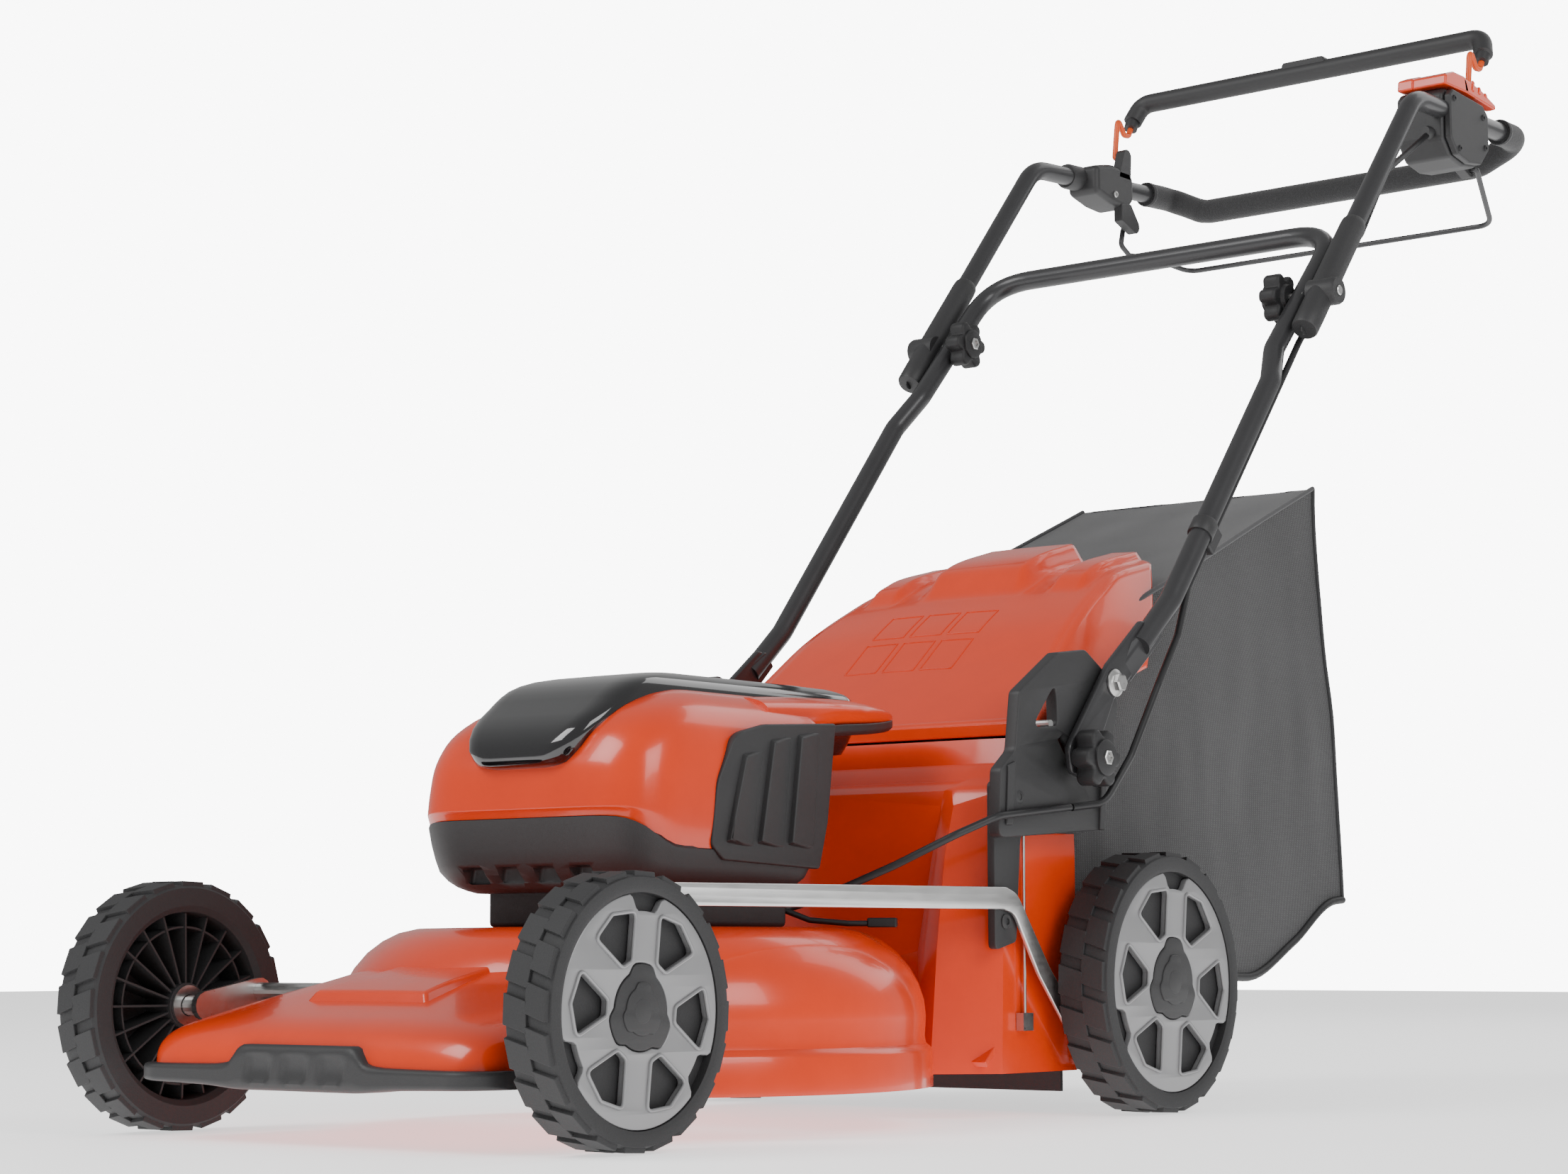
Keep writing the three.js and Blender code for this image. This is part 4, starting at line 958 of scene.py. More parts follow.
def add_hood():
    """Orange cover: a full rounded body and a thin lip that reaches back over the deck."""
    rings = []
    for t in spread(0, 1, 26):
        z = SPLIT_Z + (HOOD_TOP_Z - SPLIT_Z) * t
        low = 1 - smooth_step(t, 0, 0.25)
        rings.append(hood_ring(z, lambda y, z=z, low=low: z + (split_height(y) - SPLIT_Z) * low))
    rings.append(plan_ring(20, -450, -380, 8, 8, lambda y: 381))
    body = loft("hood_skin", rings)
    lip_rings = []
    half = curve_through([(-400, 112), (-330, 114), (-260, 110), (-215, 102), (-190, 92), (-179, 76)])
    top = curve_through([(-400, 374), (-330, 378), (-260, 380), (-215, 378), (-190, 373), (-179, 367)])
    low = curve_through([(-400, 338), (-340, 340), (-300, 346), (-240, 351), (-190, 358), (-179, 362)])
    for y in spread(-400, -230, 18) + spread(-224, -179, 12):
        ring = []
        middle, depth = (top(y) + low(y)) / 2, (top(y) - low(y)) / 2
        for k in range(56):
            angle = 2 * math.pi * k / 56
            c, s = math.cos(angle), math.sin(angle)
            ring.append((half(y) * math.copysign(abs(c) ** 0.45, c), y,
                         middle + depth * math.copysign(abs(s) ** (0.75 if s > 0 else 0.5), s)))
        lip_rings.append(ring)
    lip = loft("hood_lip", lip_rings)
    hood = join_meshes("hood", [body, lip])
    shade(hood.data, 45)
    stand_in(hood, "housing_hood", "deck", "orange_gloss")
    under = []
    for y in spread(-338, -186, 16):
        w = half(y) + 0.8
        z = low(y)
        under.append([(-w, y, z + 6), (-w, y, z - 1), (-w + 5, y, z - 4), (w - 5, y, z - 4), (w, y, z - 1),
                      (w, y, z + 6)])
    trim = loft("hood_lip_underside", under, sharp_degrees=40)
    bevel(trim, 1.5, 2, 40)
    place(trim, "deck", "charcoal_plastic")


def add_lid():
    """Glossy battery lid that wraps over the front of the hood."""
    half = curve_through([(303, 44), (307, 54), (330, 68), (356, 76), (372, 76), (380, 73), (386, 66),
                          (391, 52)])
    front = curve_through([(303, -596), (307, -604), (318, -605), (330, -600), (345, -586), (356, -571),
                           (368, -556), (378, -540), (386, -516), (391, -480)])
    rear = curve_through([(303, -520), (330, -226), (372, -216), (384, -217), (391, -226)])
    rings = []
    for z in (303, 304.5, 307, 312, 320, 330, 340, 350, 358, 364, 370, 376, 381, 385, 388, 390, 391):
        rings.append(plan_ring(half(z), front(z), rear(z), 24, 20, lambda y, z=z: z))
    rings.append(plan_ring(30, -450, -250, 12, 12, lambda y: 391.6))
    lid = loft("lid_skin", rings, sharp_degrees=70)
    stand_in(lid, "battery_lid", "lid", "gloss_black")


def add_grille(name, side):
    """Dark side panel with three slanted louvres."""
    face = HOOD_HALF - 1
    corners = [(-506, 238), (-498, 292), (-474, 334), (-432, 344), (-334, 350), (-346, 262), (-358, 221),
               (-490, 226)]
    outline = rounded_outline(corners, [10, 40, 30, 20, 3, 10, 4, 10], 6)
    parts = [flat_outline(f"grille_frame_{name}", outline, [], side * (face - 6), side * (face + 2.5), 1.8)]
    for k, top in enumerate((318, 332, 338)):
        low_y, lean = -488 + 42 * k, 22 - 4 * k
        high_y, rear_y = low_y + lean, low_y + lean * 0.6
        corners = ((0, low_y, 240), (7.5, low_y + 2, 243), (0, low_y + 38, 236), (2.8, low_y + 37, 239),
                   (0, high_y, top), (7.0, high_y + 2, top - 4), (0, rear_y + 38, top + 5),
                   (2.8, rear_y + 37, top + 2))
        louvre = [(side * (face + x), y, z) for x, y, z in corners]
        parts.append(hull_solid(f"louvre_{name}_{k}", louvre, 1.4))
    grille = join_meshes(f"grille_{name}", parts)
    stand_in(grille, f"side_grille_{name}", "deck", "charcoal_plastic")


# ---------- discharge flap ----------
ridge_x = curve_through([(0, 200), (0.22, 176), (0.42, 165), (0.62, 155), (0.78, 149), (1, 146)])
ridge_y = curve_through([(0, -134), (0.22, -51), (0.42, 11), (0.62, 68), (0.78, 115), (1, 180)])
ridge_z = curve_through([(0, 352), (0.22, 420), (0.42, 470), (0.62, 505), (0.78, 528), (1, 545)])


def flap_raise(x, t):
    """How far the flap's three raised strips stand above its plain surface."""
    wide = abs(x)
    centre = (1 - smooth_step(wide, 50, 68)) * smooth_step(t, 0.60, 0.70) * (12 + 9 * t)
    strip = smooth_step(wide, 92, 100) * (1 - smooth_step(wide, 128, 136)) * smooth_step(t, 0.60, 0.68) * 9
    return max(centre, strip)


def add_flap():
    """Sprung flap over the discharge mouth: flared sides, a ridge, three raised strips and a hinge roll."""
    rows = []
    for t in spread(0, 1, 70):
        x, y, z = ridge_x(t), ridge_y(t), ridge_z(t)
        rim = Vector((206 - 9 * t, -134 + 222 * t, 349 + 77 * t))
        ridge = Vector((x, y, z))
        panel = [rim.lerp(ridge, s) + Vector((4 * math.sin(math.pi * s), 0, 0)) for s in spread(0, 0.96, 12)]
        across = []
        for u in spread(-0.985, 0.985, 99):
            crown = 4 * (1 - u * u) - 2.5 * smooth_step(abs(u), 0.94, 1)
            across.append(Vector((x * u, y, z + crown + flap_raise(x * u, t))))
        left = [(p.x, p.y, p.z) for p in panel]
        row = mirror_points(left) + [tuple(p) for p in across] + left[::-1]
        rows.append(row)
    skin = loft("flap_skin", rows, closed=False, sharp_degrees=50)
    add_modifier(skin, "SOLIDIFY", thickness=3.6 * MM, offset=-1, use_even_offset=True)
    apply_modifiers(skin)
    rod_low, rod_high = node_box("flap_hinge_rod")
    hinge_y, hinge_z = (rod_low[1] + rod_high[1]) / 2, 357
    roll = tube("flap_roll", [(-199, hinge_y, hinge_z), (199, hinge_y, hinge_z)], 8, 24)
    lip = solid_box("flap_lip", -199, 199, hinge_y - 9, hinge_y - 4, 348, 360, 1.5)
    flap = join_meshes("flap", [skin, roll, lip])
    stand_in(flap, "discharge_flap", "flap", "orange_gloss")
    for index in range(2):
        place(flap_frames(index), "flap", "orange_gloss")


def flap_frames(index):
    """One row of plain embossed frames on the flap."""
    frames = []
    t0, t1 = 0.22 + 0.15 * index, 0.34 + 0.15 * index
    for column in range(3):
        x0 = -70 + 46 * column
        corners = ((x0, t0), (x0 + 38, t0), (x0 + 38, t1), (x0, t1))
        path = []
        for (xa, ta), (xb, tb) in zip(corners, corners[1:] + corners[:1]):
            for s in spread(0, 0.9, 8):
                x, t = xa + (xb - xa) * s, ta + (tb - ta) * s
                lift = 4 * (1 - (x / ridge_x(t)) ** 2)
                path.append((x, ridge_y(t), ridge_z(t) + lift + 0.1))
        frames.append(tube(f"emboss_{index}_{column}", path + path[:1], 0.7, 8))
    return join_meshes(f"flap_frames_{index}", frames)


# ---------- brackets and running gear ----------
# Pivots and clamp studs run along X, and are given by (y, z).
HANDLE_PIVOT = (-38, 400)
LOWER_CLAMP = (-95, 326)
UPPER_PIVOT = (352, 836)
BRACKET_X = (215, 228)
LINK_X = (215.5, 219.5)
SLOT_HALF = 5.5


def clamp_slot():
    """Slot in which the clamp stud swings about the handle pivot."""
    away = Vector(LOWER_CLAMP) - Vector(HANDLE_PIVOT)
    start = math.atan2(away.y, away.x)
    loop = []
    for radius, ends in ((away.length - SLOT_HALF, (start - 0.3, start + 1.3)),
                         (away.length + SLOT_HALF, (start + 1.3, start - 0.3))):
        for angle in spread(*ends, 16):
            loop.append((HANDLE_PIVOT[0] + radius * math.cos(angle),
                         HANDLE_PIVOT[1] + radius * math.sin(angle)))
    return loop


def add_bracket(name, side):
    """Side bracket: a slotted upper plate, a lower plate, a tie between them, two ribs and two screws."""
    upper = [(-215, 250), (-211, 312), (-188, 330), (-180, 384), (-116, 424), (-70, 430), (-20, 402),
             (-14, 380), (-30, 330), (-44, 262)]
    outline = rounded_outline(upper, [10, 8, 10, 8, 10, 12, 10, 8, 10, 10])
    holes = [rounded_outline([(-160, 352), (-120, 396), (-118, 356)], 6), circle(5.6, HANDLE_PIVOT, 24)]
    x0, x1 = (side * x for x in BRACKET_X)
    plate = flat_outline(f"bracket_plate_{name}", outline, holes, x0, x1, 1.6)
    slot_cut = prism(f"slot_{name}", clamp_slot(), x0 - side * 12, x1 + side * 5)
    combine(plate, slot_cut, "DIFFERENCE")
    parts = [plate]
    lower_outline = [(-202, 150), (-202, 300), (-168, 318), (-70, 318), (-62, 258), (-160, 258), (-168, 158)]
    lower = flat_outline(f"bracket_lower_{name}", rounded_outline(lower_outline, [6, 6, 8, 8, 8, 14, 6]),
                         [], side * 205.4, side * 214, 1.2)
    tie = slab_solid(f"bracket_tie_{name}", [(-197, 262), (-194, 306), (-70, 306), (-62, 266)],
                     side * 206, side * 226, 2)
    parts += [lower, tie]
    for y0, y1 in ((-206, -196), (-52, -44)):
        rib = [(y0, 262), (y1, 262), (y1 + 6, 320), (y0 + 4, 316)]
        parts.append(slab_solid(f"bracket_rib_{name}_{y0}", rib, side * 216, side * 230.5, 1.5))
    bracket = join_meshes(f"bracket_{name}", parts)
    stand_in(bracket, f"side_bracket_{name}", "deck", "charcoal_plastic")
    for k, (x, y, z) in enumerate(((226.2, -182, 288), (214, -186, 176))):
        screw(f"bracket_screw_{name}_{k}", (side * x, y, z), side, "deck", 7, "charcoal_plastic")


def add_link_bar():
    """Bright flat bar joining the two axles' cranks, with a rounded bend at the rear."""
    front = node_box("link_bar")[0][1]
    corners = [(front, 203), (-192, 207), (-174, 201), (-122, 134), (-54, 66), (-50, 50), (-62, 43),
               (-140, 128), (-178, 183), (-196, 187), (front, 185)]
    outline = rounded_outline(corners, [8, 22, 26, 60, 10, 9, 9, 60, 18, 26, 8], 6)
    bar = flat_outline("link_strip", outline, [circle(4.5, (-695, 194), 20)], *LINK_X, 0.9)
    rivet = lathe("link_rivet", [(AXIS, 0), (7, 0), (7, 2.2), (5, 4.2), (AXIS, 4.8)], (217.5, -60, 54),
                  "X", 28)
    link = join_meshes("link", [bar, rivet])
    stand_in(link, "link_bar", "link", "zinc_bar")


def dress_running_gear():
    """CAD pieces whose shape is right get rounded edges."""
    for node in ("front_axle", "rear_crank", "blade", "blade_adapter", "drive_gearbox", "trailing_shield",
                 "battery_pack", "flap_hinge_rod", "drive_cable", "motor"):
        add_modifier(frame["nodes"][node], "BEVEL", width=0.8 * MM, segments=2, limit_method="ANGLE",
                     angle_limit=math.radians(35))


# ---------- lower handle ----------
TUBE_RADIUS = 11
LOWER_TUBE_X = 240
LOWER_TOP_X = 226.5
LEG_KINK = (62, 486)
CROSSBAR = (440, 922)
CROSSBAR_BEND = 52
HANDLE_BEND = 55


def along_leg(distance, drop=0):
    """A point on a leg's straight run, measured down from the upper clamp stud and offset below it."""
    run, rise = UPPER_PIVOT[0] - LEG_KINK[0], UPPER_PIVOT[1] - LEG_KINK[1]
    length = math.hypot(run, rise)
    return (UPPER_PIVOT[0] - (run * distance - rise * drop) / length,
            UPPER_PIVOT[1] - (rise * distance + run * drop) / length)


UPPER_LEAN = math.atan2(1092 - UPPER_PIVOT[1], 571 - UPPER_PIVOT[0])


def along_upper(distance, drop=0):
    """A point on the upper tube's straight run, measured up from the clamp stud and offset below it."""
    return (UPPER_PIVOT[0] + distance * math.cos(UPPER_LEAN) + drop * math.sin(UPPER_LEAN),
            UPPER_PIVOT[1] + distance * math.sin(UPPER_LEAN) - drop * math.cos(UPPER_LEAN))


def both_sides(leg):
    """A leg's corners, then their mirror images in the other order."""
    mirrored = [(-corner[0], *corner[1:]) for corner in reversed(leg)]
    return [*leg, *mirrored]


def add_lower_handle():
    """Bent tube with a crossbar, its two feet pressed flat and bored for the pivot and the clamp."""
    leg = [(LOWER_TUBE_X - 1, 6, 438), (LOWER_TUBE_X, *LEG_KINK), (LOWER_TUBE_X, *along_leg(135), 40),
           (LOWER_TOP_X, *along_leg(85), 40), (LOWER_TOP_X, *CROSSBAR, 56)]
    foot = [(-38, 384), (-24, 394), (24, 434), (36, 458), (14, 464), (-46, 418), (-116, 336), (-112, 312),
            (-90, 308), (-70, 330)]
    bores = [circle(5.4, HANDLE_PIVOT, 24), circle(4.4, LOWER_CLAMP, 20)]
    parts = [tube("lower_bow", bent_path(both_sides(leg), CROSSBAR_BEND, 10), TUBE_RADIUS, 28)]
    for name, side in SIDES:
        parts.append(flat_outline(f"foot_{name}", rounded_outline(foot, 9), bores,
                                  side * 232, side * 239, 2.2))
        flat_end = [(side * x, y, z) for x in (233.5, 238)
                    for y, z in ((-8, 442), (10, 422), (-24, 416), (-8, 402))]
        round_end = [(side * x, y, z) for x in (230, 248) for y, z in ((23, 464), (37, 448))]
        parts.append(hull_solid(f"flattened_{name}", flat_end + round_end, 4))
    handle = join_meshes("lower_bar", parts)
    stand_in(handle, "lower_handle", "lower_handle", "handle_paint")


def star_knob(name, centre, radius, face, back, side, stud_face):
    """Six-lobed knob from back to face, with a hub, a collar, a stud and a nut."""
    y, z = centre

    def outline(scale):
        return [(y + py, z + pz) for py, pz in polar(
            96, lambda a: radius * scale * (0.86 + 0.14 * math.cos(6 * a) - 0.03 * math.cos(12 * a)))]
    grip = flat_outline(f"{name}_grip", outline(0.97), [], back, face, 3.4)
    hub = lathe(f"{name}_hub", [(AXIS, 0), (radius * 0.56, 0), (radius * 0.56, side * 2.2),
                                (radius * 0.5, side * 3.4), (radius * 0.2, side * 3.4), (AXIS, side * 3.0)],
                (face, y, z), "X", 48)
    collar = lathe(f"{name}_collar", [(AXIS, 0), (radius * 0.52, 0), (radius * 0.45, -side * 4),
                                      (AXIS, -side * 4)], (back, y, z), "X", 40)
    knob = join_meshes(f"{name}_star", [grip, hub, collar])
    stand_in(knob, name, name, "black_plastic")
    stud_back = back - side * 20
    stud = lathe(f"{name}_thread", [(AXIS, stud_back), (4, stud_back), (4, stud_face - side),
                                    (3, stud_face), (AXIS, stud_face)], (0, y, z), "X", 28)
    nut = lathe(f"{name}_nut", [(4, face + side * 2), (7.2, face + side * 2), (7.2, face + side * 4.6),
                                (6.2, face + side * 5.4), (4, face + side * 5.4)], (0, y, z), "X", 6,
                sharp_degrees=20)
    place(join_meshes(f"{name}_stud", [stud, nut]), name, "steel")


def add_knobs(name, side):
    """The lower knob outside the handle's foot, and the upper knob inside the tube."""
    star_knob(f"lower_knob_{name}", LOWER_CLAMP, 30, side * 264, side * 243, side, side * 268)
    star_knob(f"upper_knob_{name}", UPPER_PIVOT, 29, side * 193, side * 213, -side, side * 189)


def add_pivot_bolt(name, side):
    """Bolt through the bracket and the handle's foot, with a washer and a hexagon head."""
    y, z = HANDLE_PIVOT
    shank = lathe(f"pivot_shank_{name}", [(AXIS, side * 213), (5, side * 213), (5, side * 240),
                                          (AXIS, side * 240)], (0, y, z), "X", 28)
    washer = lathe(f"pivot_washer_{name}", [(AXIS, side * 239.4), (13, side * 239.4), (13, side * 241),
                                            (9.5, side * 242.6), (AXIS, side * 242.6)], (0, y, z), "X", 48)
    head = lathe(f"pivot_hex_{name}", [(AXIS, side * 242), (8.6, side * 242), (8.6, side * 247.4),
                                       (7.4, side * 249), (AXIS, side * 249)], (0, y, z), "X", 6,
                 sharp_degrees=20)
    bevel(head, 0.6, 2, 30)
    bolt = join_meshes(f"pivot_bolt_{name}", [shank, washer, head])
    stand_in(bolt, f"handle_pivot_bolt_{name}", "deck", "steel")


# ---------- upper handle ----------
UPPER_TUBE_X = 254
SHOULDER = (UPPER_TUBE_X, 572, 1093)
GRIP_TURN = (240, 868, 1108)
GRIP_BAR = (190, 864, 1084)
GRIP_RADIUS = 15
# The sleeve's lower and upper end, along the tube from the clamp stud.
SLEEVE = (-60, 116)


def add_upper_handle():
    """Bent tube, the foam round its bar with a ring at each end, and the two sleeves."""
    leg = [(UPPER_TUBE_X, *along_upper(SLEEVE[0] + 8)), SHOULDER, GRIP_TURN, GRIP_BAR]
    bow = tube("upper_bow", bent_path(both_sides(leg), HANDLE_BEND, 12), TUBE_RADIUS, 28)
    stand_in(bow, "upper_handle", "upper_handle", "handle_paint")
    start = Vector(SHOULDER).lerp(Vector(GRIP_TURN), 0.8)
    grip_path = bent_path(both_sides([tuple(start), GRIP_TURN, GRIP_BAR]), HANDLE_BEND, 12)
    foam_tube = tube("foam", grip_path, GRIP_RADIUS, 36,
                     section=lambda t: (1 + 0.012 * math.sin(40 * t),) * 2)
    ends = []
    for name, (first, second) in (("left", grip_path[:2]), ("right", grip_path[:-3:-1])):
        heading = (second - first).normalized()
        loop = [first, first + heading * 2, first + heading * 6, first + heading * 8]
        ends.append(tube(f"foam_ring_{name}", loop, GRIP_RADIUS + 0.5, 36,
                         section=lambda t: (1, 1) if 0.1 < t < 0.9 else (0.93, 0.93)))
    grip = join_meshes("foam_grip", [foam_tube, *ends])
    stand_in(grip, "grip_foam", "upper_handle", "grip_foam")
    for name, side in SIDES:
        add_sleeve(name, side)


def add_sleeve(name, side):
    """Plastic sleeve on the tube's lower end: a capped tube with a shoulder, and the clamp boss."""
    low, high = SLEEVE
    stations = ((low, 10), (low + 0.5, 13), (low + 3, 14.4), (low + 22, 14.5), (high - 8, 13.8),
                (high - 3, 13.4), (high, 12.2), (high + 0.4, 11.2))
    path = [(side * UPPER_TUBE_X, *along_upper(d)) for d, _ in stations]
    radii = [r for _, r in stations]
    count = len(stations) - 1
    body = tube(f"sleeve_tube_{name}", path, 1, 36, section=lambda t: (radii[round(t * count)],) * 2)
    y, z = UPPER_PIVOT
    boss = lathe(f"sleeve_boss_{name}", [(4.4, side * 242), (15, side * 242), (15, side * 272),
                                         (13.6, side * 275), (6, side * 275), (4.4, side * 273)],
                 (0, y, z), "X", 44)
    plug = lathe(f"sleeve_plug_{name}", [(AXIS, 0), (5, 0), (5, -1), (AXIS, -1)],
                 (side * UPPER_TUBE_X, *along_upper(low)), "X", 20)
    sleeve = join_meshes(f"sleeve_{name}", [body, boss, plug])
    stand_in(sleeve, f"handle_sleeve_{name}", "upper_handle", "charcoal_plastic")
    end = lathe(f"stud_end_{name}", [(AXIS, side * 271), (5.4, side * 271), (5.4, side * 275.5),
                                     (4.4, side * 276.4), (AXIS, side * 276.4)], (0, y, z), "X", 28)
    place(end, "upper_handle", "steel")


# ---------- controls ----------
BAIL_PIVOT = (735, 1136)
DRIVE_PIVOT = (752, 1050)
BOX_X, BOX_Y, BOX_Z = (198, 264), (640, 742), (1038, 1122)


def bail_lugs(name, side):
    """The bored lugs that carry the stop bail and the drive bail on one side."""
    lugs = []
    for key, centre, root in (("bail", BAIL_PIVOT, ((714, 1106), (742, 1106))),
                              ("drive", DRIVE_PIVOT, ((720, 1074), (720, 1052), (742, 1076)))):
        outline = [*circle(9, centre, 20), *root]
        lug = slab_solid(f"{key}_lug_{name}", outline, side * 222, side * 234, 1)
        bore = slab_solid(f"{key}_bore_{name}", circle(4.4, centre, 20), side * 226, side * 240, 0)
        apply_modifiers(lug)
        lugs.append(combine(lug, bore, "DIFFERENCE"))
    return lugs


def add_control_box():
    """Box round the left tube with a screwed cover, a cable boot and the two lugs."""
    (x0, x1), (y0, y1), (z0, z1) = BOX_X, BOX_Y, BOX_Z
    outline = [(y0, z0 + 24), (y0 + 18, z0 + 5), (y0 + 50, z0), (y1 - 22, z0 + 4), (y1, z0 + 26),
               (y1, z1 - 14), (y1 - 14, z1 - 4), (y0 + 8, z1), (y0, z1 - 8)]
    body = slab_solid("control_body", outline, x0, x1 - 9, 4)
    inset = [(y0 + 3 + (y - y0) * 0.94, z0 + 2.5 + (z - z0) * 0.94) for y, z in outline]
    cover = slab_solid("control_cover", inset, x1 - 8.4, x1, 2.2)
    boot = lathe("cable_boot", [(AXIS, 0), (8, 0), (7, 6), (8, 7), (6.6, 13), (7.4, 14), (5.6, 20),
                                (AXIS, 20)], (0, 0, 0), "Z", 28)
    boot.data.transform(Matrix.Translation(Vector((238, y0 + 10, 1070)) * MM)
                        @ Matrix.Rotation(math.radians(90), 4, "X"))
    box = join_meshes("control_housing", [body, cover, boot, *bail_lugs("left", LEFT)])
    stand_in(box, "control_box", "upper_handle", "charcoal_plastic")
    places = ((y0 + 13, z1 - 13), (y1 - 17, z1 - 21), (y1 - 13, z0 + 28), (y0 + 24, z0 + 15))
    for k, (y, z) in enumerate(places):
        screw(f"cover_screw_{k}", (x1 - 0.6, y, z), LEFT, "upper_handle", 3.6, "black_plastic")


def add_bail_bracket():
    """Clamp on the right-hand tube: a split sleeve with a collar and a screw, and the two lugs."""
    outline = [(664, 1078), (664, 1112), (700, 1120), (741, 1120), (750, 1108), (750, 1080), (734, 1068),
               (700, 1070)]
    body = slab_solid("bracket_sleeve", outline, -266, -222, 7)
    collar = tube("bracket_collar", [(-253, 640, 1097.5), (-253, 644, 1097.7), (-252.6, 664, 1098.6),
                                     (-252, 668, 1098.8)], 15.5, 36,
                  section=lambda t: (1, 1) if t > 0.1 else (0.92, 0.92))
    bracket = join_meshes("bail_clamp", [body, collar, *bail_lugs("right", RIGHT)])
    stand_in(bracket, "bail_bracket", "upper_handle", "charcoal_plastic")
    screw("clamp_screw", (-222, 705, 1082), LEFT, "upper_handle", 4.2)
    screw("clamp_screw_outer", (-265.6, 705, 1095), RIGHT, "upper_handle", 4.2)


def add_start_lever():
    """Rocking lever on the control box: a cap, a body and a tail with three finger ribs."""
    cap = [(638, 1123), (640, 1136), (660, 1143.5), (694, 1143.5), (704, 1124)]
    body = [(638, 1123), (640, 1135), (660, 1142.5), (690, 1142.5), (700, 1124)]
    tail = [(688, 1124), (684, 1141), (728, 1136), (766, 1125), (766, 1119), (742, 1123.5)]
    parts = [slab_solid("lever_cap", cap, 200, 220, 2.5), slab_solid("lever_body", body, 219, 261, 2.5),
             slab_solid("lever_tail", tail, 248, 261, 2.2)]
    for k in range(3):
        y = 704 + 16 * k
        rib = [(y, 1130), (y + 3, 1142 - 4 * k), (y + 7, 1140 - 4.5 * k), (y + 6, 1128)]
        parts.append(slab_solid(f"lever_rib_{k}", rib, 247, 262, 1))
    lever = join_meshes("lever", parts)
    stand_in(lever, "start_lever", "start_lever", "orange_gloss")


WIRE_X = 241
BAIL_BAR = (790, 1216)
BAIL_ELBOW = (768, 1172)
STOP_ROD_RADIUS = 3.5
DRIVE_ROD_RADIUS = 3.2
COVER_RADIUS = 11.5


def add_stop_bail():
    """Bent wire with a hook at each pivot, and the plastic cover round its upper part."""
    leg = [(229, *BAIL_PIVOT), (WIRE_X, *BAIL_PIVOT, 4), (WIRE_X, 743, 1190, 5), (WIRE_X, 757, 1171, 5),
           (WIRE_X, *BAIL_ELBOW, 6), (WIRE_X, *BAIL_BAR, 22)]
    wire = tube("bail_rod", bent_path(both_sides(leg), 5, 8), STOP_ROD_RADIUS, 16)
    stand_in(wire, "bail_wire", "stop_bail", "orange_wire")
    elbow, bar = Vector((WIRE_X, *BAIL_ELBOW)), Vector((WIRE_X, *BAIL_BAR))
    corners = both_sides([tuple(elbow.lerp(bar, 0.22)), tuple(elbow.lerp(bar, 0.45)),
                          (WIRE_X - 7, BAIL_BAR[0] + 1, BAIL_BAR[1], 26)])
    path = bent_path(corners, 6, 12)
    total = len(path) - 1

    def thickness(t):
        edge = min(t, 1 - t) * total
        taper = 0.72 + 0.28 * min(1, edge / 8)
        return (taper, taper * 1.04)
    parts = [tube("cover_tube", path, COVER_RADIUS, 36, section=thickness)]
    y, z = BAIL_BAR
    parts.append(hull_solid("cover_tab", [(side * w, y + d, z + h) for side in (-1, 1) for w, d, h in (
        (30, -8, 4), (30, 8, 4), (27, -8.5, 15), (27, 8.5, 15), (30, -6, 11))], 2.5))
    cover = join_meshes("bail_sheath", parts)
    stand_in(cover, "bail_cover", "stop_bail", "charcoal_plastic")


def add_drive_bail():
    """Thin bent rod below the grip, with a jog on its right-hand side."""
    y, z = DRIVE_PIVOT
    corners = [(228.5, y, z), (WIRE_X, y, z, 5), (208, 856, 1008, 22), (-208, 856, 1008, 22),
               (-232, 800, 1020, 12), (-WIRE_X, 766, 1018, 9), (-WIRE_X, 746, 1028, 7), (-WIRE_X, y, z, 5),
               (-228.5, y, z)]
    rod = tube("drive_rod", bent_path(corners, 5, 8), DRIVE_ROD_RADIUS, 16)
    stand_in(rod, "drive_bail", "drive_bail", "handle_paint")


# ---------- grass bag ----------
BAG_FRONT = -42
BAG_REAR_TOP, BAG_REAR_LOW = 512, 514
BAG_RING_POINTS = 26
BAG_STATIONS = 44


def bag_half(y, z):
    """Half width of the bag's side wall, which sags inwards between its edges."""
    wide = 190 - 16 * smooth_step(y, 130, 505)
    above = smooth_step(z, 336, 650)
    narrow = 150 if y > 200 else 136 + 14 * smooth_step(y, 60, 200)
    return wide + (narrow - wide) * above


bag_top_z = curve_through([(-42, 345), (20, 392), (52, 424), (106, 486), (200, 528), (300, 568), (420, 618),
                           (512, 656)])
bag_low_z = curve_through([(-42, 172), (70, 150), (290, 124), (400, 160), (494, 204), (518, 206)])


def bag_ring(y_share):
    """Left side of one cross-section, from its lower edge up, with the cloth's sag and wrinkles."""
    ring = []
    top_y = BAG_FRONT + (BAG_REAR_TOP - BAG_FRONT) * y_share
    low_y = BAG_FRONT + (BAG_REAR_LOW - BAG_FRONT) * y_share
    z_low, z_high = bag_low_z(low_y), bag_top_z(top_y)
    for t in spread(0, 1, BAG_RING_POINTS):
        z = z_low + (z_high - z_low) * t
        y = low_y + (top_y - low_y) * t
        y -= 9 * math.sin(math.pi * t) * smooth_step(y_share, 0.8, 1)
        sag = 7 * math.sin(math.pi * min(1, t * 1.02)) * math.sin(math.pi * min(1, y_share * 1.1))
        wrinkle = 2.2 * noise.noise(Vector((0.008 * y, 0.013 * z, 3.7)))
        wrinkle += 1.1 * noise.noise(Vector((0.03 * y, 0.011 * z, 9.1)))
        ring.append((bag_half(y, z) - sag + wrinkle * math.sin(math.pi * t), y, z))
    return ring


